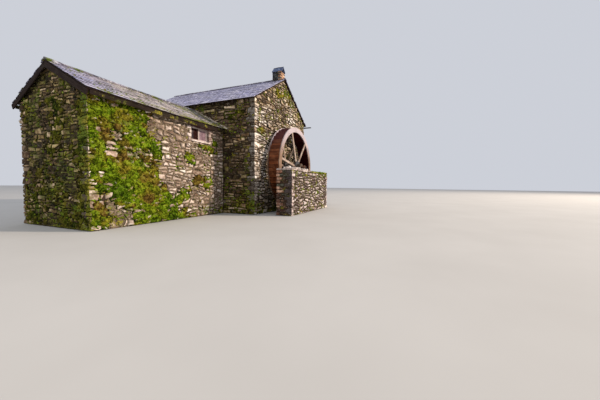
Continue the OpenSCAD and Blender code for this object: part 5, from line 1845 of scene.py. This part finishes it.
def drum(rng):
    """The sole boards, and buckets of an upright board and a slanting one between the rims."""
    soles, boards = Pile(), Pile()
    step = 2 * math.pi / BUCKETS
    joint = SOLE_JOINT / rim_in
    lip = wheel_r - LIP_IN
    thick = BUCKET_BOARD / sole_r
    lean = step - LIP_GAP / lip
    foot, root = sole_r + 0.0005, sole_r + BUCKET_ROOT
    y0, y1 = rim_hi.y + RIM_GAP, rear_rim_lo.y - RIM_GAP

    def board(pile, profile, ease_cut, rough, parts, tint=None):
        prism(pile, eased(profile, ease_cut), "y", y0, y1, rng, cut=0.003, rough=rough,
              parts=parts, tint=tint)

    for i in range(BUCKETS):
        start = i * step
        board(soles, [polar(rim_in, start + joint), polar(sole_r, start + joint),
                      polar(sole_r, start + step), polar(rim_in, start + step)], 0.004, 0.0006, 3)
        at = start - thick
        board(boards, [polar(foot, at), polar(root, at), polar(root + 0.002, start),
                       polar(foot, start)], 0.003, 0.0005, 3)
        # The slanting side is two boards, so that its joint shows as a fine line
        inside = np.array([polar(root, at), polar(root + BUCKET_BOARD, start)])
        outside = np.array([polar(lip - BUCKET_BOARD, at - lean), polar(lip, at - lean)])
        middle = (1 - BUCKET_SPLIT) * inside + BUCKET_SPLIT * outside
        away = 0.0010 * unit(outside[0] - inside[0])
        for near, far, tint in ((inside, middle - away, 0.0), (middle + away, outside, 0.6)):
            board(boards, [near[0], far[0], far[1], near[1]], 0.003, 0.0007, 4,
                  tint + rng.uniform(0.0, 0.4))
    soles.build("drum_boards", soaked_wood, "wet_timber", ["sole_boards"], crisp=WOOD_CRISP,
                body=WHEEL)
    boards.build("bucket_boards", wet_wood, "wet_timber", ["buckets"], crisp=WOOD_CRISP,
                 body=WHEEL)


def wheel():
    rng = np.random.default_rng(91)
    rims_and_arms(rng)
    drum(rng)


# Moss

def drift(rng, us, zs, reach):
    """A field over a wall that wanders slowly, mostly between -1 and 1."""
    count = int(3 * (us[1] - us[0]) * (zs[1] - zs[0]) / reach ** 2) + 4
    spots = np.column_stack([rng.uniform(*us, count), rng.uniform(*zs, count)])
    signs = rng.choice([-0.45, 0.45], count)
    return lambda u, z: float(signs @ np.exp(-((spots - (u, z)) ** 2).sum(1) / reach ** 2))


def rolling(rng, counts, reach):
    """Bumps over a grid, about as wide as reach cells."""
    field = rng.normal(0, 1, counts)
    weights = np.exp(-(np.arange(-2 * reach, 2 * reach + 1) / reach) ** 2)
    weights /= math.sqrt((weights ** 2).sum())
    for axis in (0, 1):
        field = np.apply_along_axis(np.convolve, axis, field, weights, "same")
    return field


def joined_cells(rise):
    """The cells of a grid with moss on them, and those that keep two from meeting only at a
    corner."""
    kept = (rise[:-1, :-1] > 0) | (rise[1:, :-1] > 0) | (rise[:-1, 1:] > 0) | (rise[1:, 1:] > 0)
    crossed = True
    while crossed:
        a, b, c, d = kept[:-1, :-1], kept[1:, :-1], kept[:-1, 1:], kept[1:, 1:]
        at = np.argwhere((a & d & ~b & ~c) | (b & c & ~a & ~d))
        kept[at[:, 0], at[:, 1]] = kept[at[:, 0] + 1, at[:, 1]] = True
        crossed = len(at) > 0
    return kept


def sheet_faces(kept):
    """The grid points of a sheet of cells, and the faces of its front, back and rim. The points
    of the back follow those of the front."""
    front, faces = {}, []
    cells = [tuple(cell) for cell in np.argwhere(kept)]
    for i, j in cells:
        corners = (i, j), (i + 1, j), (i + 1, j + 1), (i, j + 1)
        faces.append(tuple(front.setdefault(corner, len(front)) for corner in corners))
    n = len(front)
    for (i, j), (a, b, c, d) in zip(cells, list(faces)):
        faces.append((d + n, c + n, b + n, a + n))
        for di, dj, p, q in ((0, -1, a, b), (1, 0, b, c), (0, 1, c, d), (-1, 0, d, a)):
            x, y = i + di, j + dj
            if not (0 <= x < kept.shape[0] and 0 <= y < kept.shape[1] and kept[x, y]):
                faces.append((p, p + n, q + n, q))
    return tuple(np.array(list(front)).T), faces


# Moss cushions in a sheet: their height as a share of their size, how deep the sheet's edge
# lies in the wall, and its own thickness
CUSHION_RISE = 0.42
SHEET_SINK = 0.024
SHEET_T = 0.004


def blanket(pile, origin, along, us, zs, step, count, sizes, mossy, need, seed, patchy=0.13,
            hidden=()):
    """Moss that has grown together over a wall: a sheet with the shape of many uneven cushions,
    kept only where there are some."""
    rng = np.random.default_rng(seed)
    spread, hues = drift(rng, us, zs, 0.38), drift(rng, us, zs, 0.30)
    origin, along = np.array(origin, float), np.array([*along, 0.0])
    counts = int((us[1] - us[0]) / step) + 1, int((zs[1] - zs[0]) / step) + 1
    grid_u, grid_z = np.meshgrid(us[0] + step * np.arange(counts[0]),
                                 zs[0] + step * np.arange(counts[1]), indexing="ij")
    bent_u = grid_u + 0.8 * step * rolling(rng, counts, 2)
    bent_z = grid_z + 0.8 * step * rolling(rng, counts, 2)
    rise, share, tint = np.zeros(counts), np.zeros(counts), np.zeros(counts)
    for _ in range(count):
        u, z = rng.uniform(*us), rng.uniform(*zs)
        size = sizes[0] + (sizes[1] - sizes[0]) * rng.random() ** 1.8
        wide, hue = size * rng.uniform(0.9, 1.7), 0.42 + 0.24 * hues(u, z) + rng.normal(0, 0.16)
        amount = mossy(origin + along * u + (0, 0, z)) + patchy * spread(u, z)
        if amount + rng.normal(0, 0.07) < need:
            continue
        # Browner where the moss is thin
        hue += 0.34 * ease(amount, need + 0.10, need - 0.04)
        above = (bent_z - z) / size
        near = np.maximum(1 - ((bent_u - u) / wide) ** 2 - above ** 2, 0) ** 0.7
        lump = CUSHION_RISE * size * rng.uniform(0.7, 1.2) * near
        tint = np.where(lump > rise, hue, tint)
        # The share becomes the edge number: painted light high on each cushion, painted shade low
        # and at its rim
        share = np.where(lump > rise, near * (0.66 + 0.34 * above), share)
        rise = np.maximum(rise, lump)
    rise[[0, -1], :] = rise[:, [0, -1]] = 0
    for u0, u1, z0, z1 in hidden:
        rise[(grid_u > u0) & (grid_u < u1) & (grid_z > z0) & (grid_z < z1)] = 0
    at, faces = sheet_faces(joined_cells(rise))
    rise = rise * (1 + 0.22 * rolling(rng, counts, 1).clip(-2, 2))
    jitter = rng.normal(0, 0.12 * step, (2, *counts))
    flat = np.column_stack([grid_u[at] + jitter[0][at], grid_z[at] + jitter[1][at]])
    sheet = on_wall(origin, along, flat, rise[at] - SHEET_SINK)
    back = on_wall(origin, along, flat, np.full(len(flat), -SHEET_SINK - SHEET_T))
    pile.add(np.concatenate([sheet, back]), faces, np.tile(tint[at], 2), np.tile(share[at], 2))


def sheets():
    """Where the photo shows the walls under moss."""
    lintel = (win_lo.x - lintel_rest - 0.05, win_hi.x + lintel_rest + 0.05, win_lo.z - 0.12,
              range_eave)
    pile = Pile()
    blanket(pile, (0, range_y0, 0), (1, 0), (range_x0 + 0.01, range_x1 - 0.02),
            (0.0, range_eave - 0.02), 0.027, 4200, (0.04, 0.17), low_and_left, 0.38, 111,
            hidden=[lintel], patchy=0.20)
    pile.build("range_moss", green_moss, "mossy_rubble")
    pile = Pile()
    blanket(pile, (range_x0, 0, 0), (0, -1), (-range_y1 + 0.02, -range_y0 - 0.01),
            (0.0, range_eave), 0.036, 2200, (0.035, 0.12), side_wall, 0.42, 112, patchy=0.16)
    pile.build("gable_moss", dull_moss, "mossy_rubble")
    pile = Pile()
    blanket(pile, (0, front_y, 0), (1, 0), (-mill_half + 0.02, mill_half - 0.02), (0.0, 4.9),
            0.034, 1900, (0.035, 0.10), high_gable, 0.37, 113)
    blanket(pile, (0, front_y, 0), (1, 0), (-0.95, 0.75), (5.3, 6.55), 0.030, 420, (0.04, 0.12),
            high_gable, 0.35, 114)
    pile.build("mill_front_moss", gold_moss, "mossy_rubble")
    pile = Pile()
    blanket(pile, (-mill_half, 0, 0), (0, -1), (-range_y0 + 0.02, -front_y - 0.02), (0.0, 4.9),
            0.036, 1800, (0.035, 0.11), shaded_wall, 0.42, 115)
    pile.build("mill_left_moss", dull_moss, "mossy_rubble")


# Tries at a cushion on the wheel gable's point and the pit wall's top, and the cushions on slates
POINT_TRIES = 150
TOP_TRIES = 190
LAP_CUSHIONS = 130


def cushions():
    """Rounded cushions of moss where it is thickest."""
    rng = np.random.default_rng(101)
    ball = bmesh.new()
    bmesh.ops.create_icosphere(ball, subdivisions=2, radius=1.0)
    form = np.array([v.co for v in ball.verts])
    faces = [tuple(v.index for v in f.verts) for f in ball.faces]
    ball.free()
    pile = Pile()

    def tuft(at, out, size, flat=0.45):
        out = unit(out)
        side = unit(np.cross(out, (0.02, 0.03, 1.0) if abs(out[2]) < 0.9 else (0.0, 1.0, 0.1)))
        up = np.cross(out, side)
        wide = size * rng.uniform(1.0, 1.7)
        tall = size * rng.uniform(0.6, 1.0)
        lump = form * (1 + rng.normal(0, 0.13, (len(form), 1)))
        points = np.outer(lump[:, 0] * wide, side) + np.outer(lump[:, 1] * tall, up)
        points = np.array(at) + points + np.outer(lump[:, 2] * size * flat, out)
        # The edge number paints light on the side facing out and shade on the side towards the wall
        pile.add(points, faces, rng.random(), np.clip(0.55 + 0.6 * form[:, 2], 0.1, 1.0))

    def wall(origin, along, us, zs, count, mossy, need, sizes):
        along = np.array([*along, 0.0])
        placed = tries = 0
        while placed < count and tries < 40 * count:
            tries += 1
            u, z = rng.uniform(*us), rng.uniform(*zs)
            at = np.array(origin) + along * u + np.array([0, 0, z])
            if mossy(at) + rng.normal(0, 0.16) > need:
                tuft(at, outward(along), rng.uniform(*sizes))
                placed += 1

    wall((0, range_y0, 0), (1, 0), (range_x0 + 0.08, range_x1 - 0.1), (0.05, range_eave - 0.1),
         260, low_and_left, 0.34, (0.020, 0.050))
    wall((0, front_y, 0), (1, 0), (-mill_half + 0.1, mill_half - 0.1), (0.05, 5.1), 90,
         high_gable, 0.42, (0.02, 0.05))
    # The point of the wheel gable
    for _ in range(POINT_TRIES):
        z = rng.uniform(5.3, mill_apex - 0.25)
        reach = (mill_apex - z) / mill_tan - 0.12
        x = rng.uniform(-0.6, 1.0) * reach
        if rng.random() < high_gable((x, front_y, z)) + 0.15:
            tuft((x, front_y, z), (0, -1, 0), rng.uniform(0.02, 0.055))
    wall((-mill_half, 0, 0), (0, -1), (-range_y0, -front_y), (0.05, mill_eave - 0.2), 70,
         shaded_wall, 0.44, (0.02, 0.05))
    wall((range_x0, 0, 0), (0, -1), (-range_y1 + 0.1, -range_y0 - 0.1), (0.05, range_eave), 90,
         side_wall, 0.46, (0.02, 0.05))
    wall((0, back_y, 0), (-1, 0), (-mill_half + 0.1, mill_half - 0.1), (0.05, 4.8), 50,
         shaded_wall, 0.50, (0.03, 0.07))
    wall((mill_half, 0, 0), (0, 1), (front_y + 0.1, back_y - 0.1), (0.05, 4.8), 60, shaded_wall,
         0.50, (0.03, 0.07))
    wall((0, pit_lo.y, 0), (1, 0), (pit_lo.x + 0.1, pit_hi.x - 0.1), (0.04, pit_hi.z), 40,
         top_of_pit, 0.34, (0.02, 0.05))
    # The pit wall's top, clear of the outer bearing
    for _ in range(TOP_TRIES):
        x = rng.uniform(-0.9, coping_hi.x - 0.08)
        if rng.random() < 0.25 + 0.75 * ease(x, -0.9, 0.6):
            y = coping_lo.y + 0.07 + abs(rng.normal(0, 0.2))
            if y < coping_hi.y - 0.06 and not (abs(x) < 0.26 and y > pit_lo.y + 0.2):
                tuft((x, y, coping_hi.z - 0.008), (0, 0, 1),
                     rng.uniform(0.03, 0.06) * (1 + ease(x, 0.0, 1.5)), 0.55)
    # The laps of the range's front slates
    front = range_slope(-1)
    for _ in range(LAP_CUSHIONS):
        x = rng.uniform(range_x0, range_x1 - 0.1)
        s = rng.choice([0.03, 1, 1, 2, 3, 4, 5, 6, 7, 8.05]) * COURSE + 0.01
        size = rng.uniform(0.012, 0.034)
        at = front(np.array([x]), np.array([s]), np.array([range_roof_t - 0.006]))[0]
        at[2] -= range_sag(at[0])
        tuft(at, (0, -range_tan, 1), size, 0.5)
    pile.build("moss_cushions", green_moss, "mossy_rubble")


# Pieces

for make in (mill_walls, range_walls, pit, pit_top, roofs, fillet, chimney, eave_timber,
             window_parts, door_parts, wheel, sheets, cushions):
    make()
for material, nodes in (
        (black_iron, ("mill_gutter", "gutter_brackets", "hubs")),
        (old_iron, ("outer_bearing", "inner_bearing", "gudgeons", "shaft_hoops")),
        (old_wood, ("wheel_shaft", "mill_purlins", "mill_rafters", "range_purlins",
                    "range_rafters"))):
    for node in nodes:
        dress(node, material)


# Camera, light and stage

def look():
    forward = Vector((math.cos(YAW) * math.cos(PITCH), math.sin(YAW) * math.cos(PITCH),
                      -math.sin(PITCH)))
    right = Vector((math.sin(YAW), -math.cos(YAW), 0))
    up = right.cross(forward)
    turned = right * math.cos(ROLL) + up * math.sin(ROLL)
    upright = up * math.cos(ROLL) - right * math.sin(ROLL)
    lens = bpy.data.cameras.new("camera")
    lens.lens = LENS
    lens.sensor_width = SENSOR
    lens.clip_end = FAR
    camera = added("camera", lens)
    turn = Matrix((turned, upright, -forward)).transposed()
    camera.matrix_world = Matrix.Translation(EYE) @ turn.to_4x4()
    bpy.context.scene.camera = camera


def lamp(name, place, target, size, power, colour):
    light = bpy.data.lights.new(name, "AREA")
    light.shape = "DISK"
    light.size = size
    light.energy = power
    light.color = colour
    way = (Vector(target) - Vector(place)).to_track_quat("-Z", "Y")
    added(name, light).matrix_world = Matrix.Translation(place) @ way.to_matrix().to_4x4()


def stage():
    reach, level = 140.0, -0.01
    p = Paint("floor")
    tone = p.ramp(p.noise(p.place(), 0.4, 3), (0.3, (0.50, 0.49, 0.47)), (0.7, (0.54, 0.53, 0.51)))
    mesh = bpy.data.meshes.new("floor")
    mesh.from_pydata([(-reach, -reach, level), (reach, -reach, level), (reach, reach, level),
                      (-reach, reach, level)], [], [(0, 1, 2, 3)])
    mesh.materials.append(p.done(tone, 0.9))
    floor = added("floor", mesh)
    world = bpy.data.worlds.new("studio")
    world.use_nodes = True
    backdrop = world.node_tree.nodes["Background"]
    backdrop.inputs["Color"].default_value = (0.82, 0.85, 0.93, 1)
    backdrop.inputs["Strength"].default_value = 0.74
    bpy.context.scene.world = world
    bpy.context.scene.view_settings.view_transform = "Standard"
    lamp("key", (29.0, -80.0, 40.0), (-2.5, 1.0, 2.5), 9.0, 106000, (1.0, 0.845, 0.69))
    lamp("fill", (-30.0, 2.0, 16.0), (-2.0, 0.0, 2.0), 14.0, 1500, (1.0, 0.95, 0.88))


look()
stage()
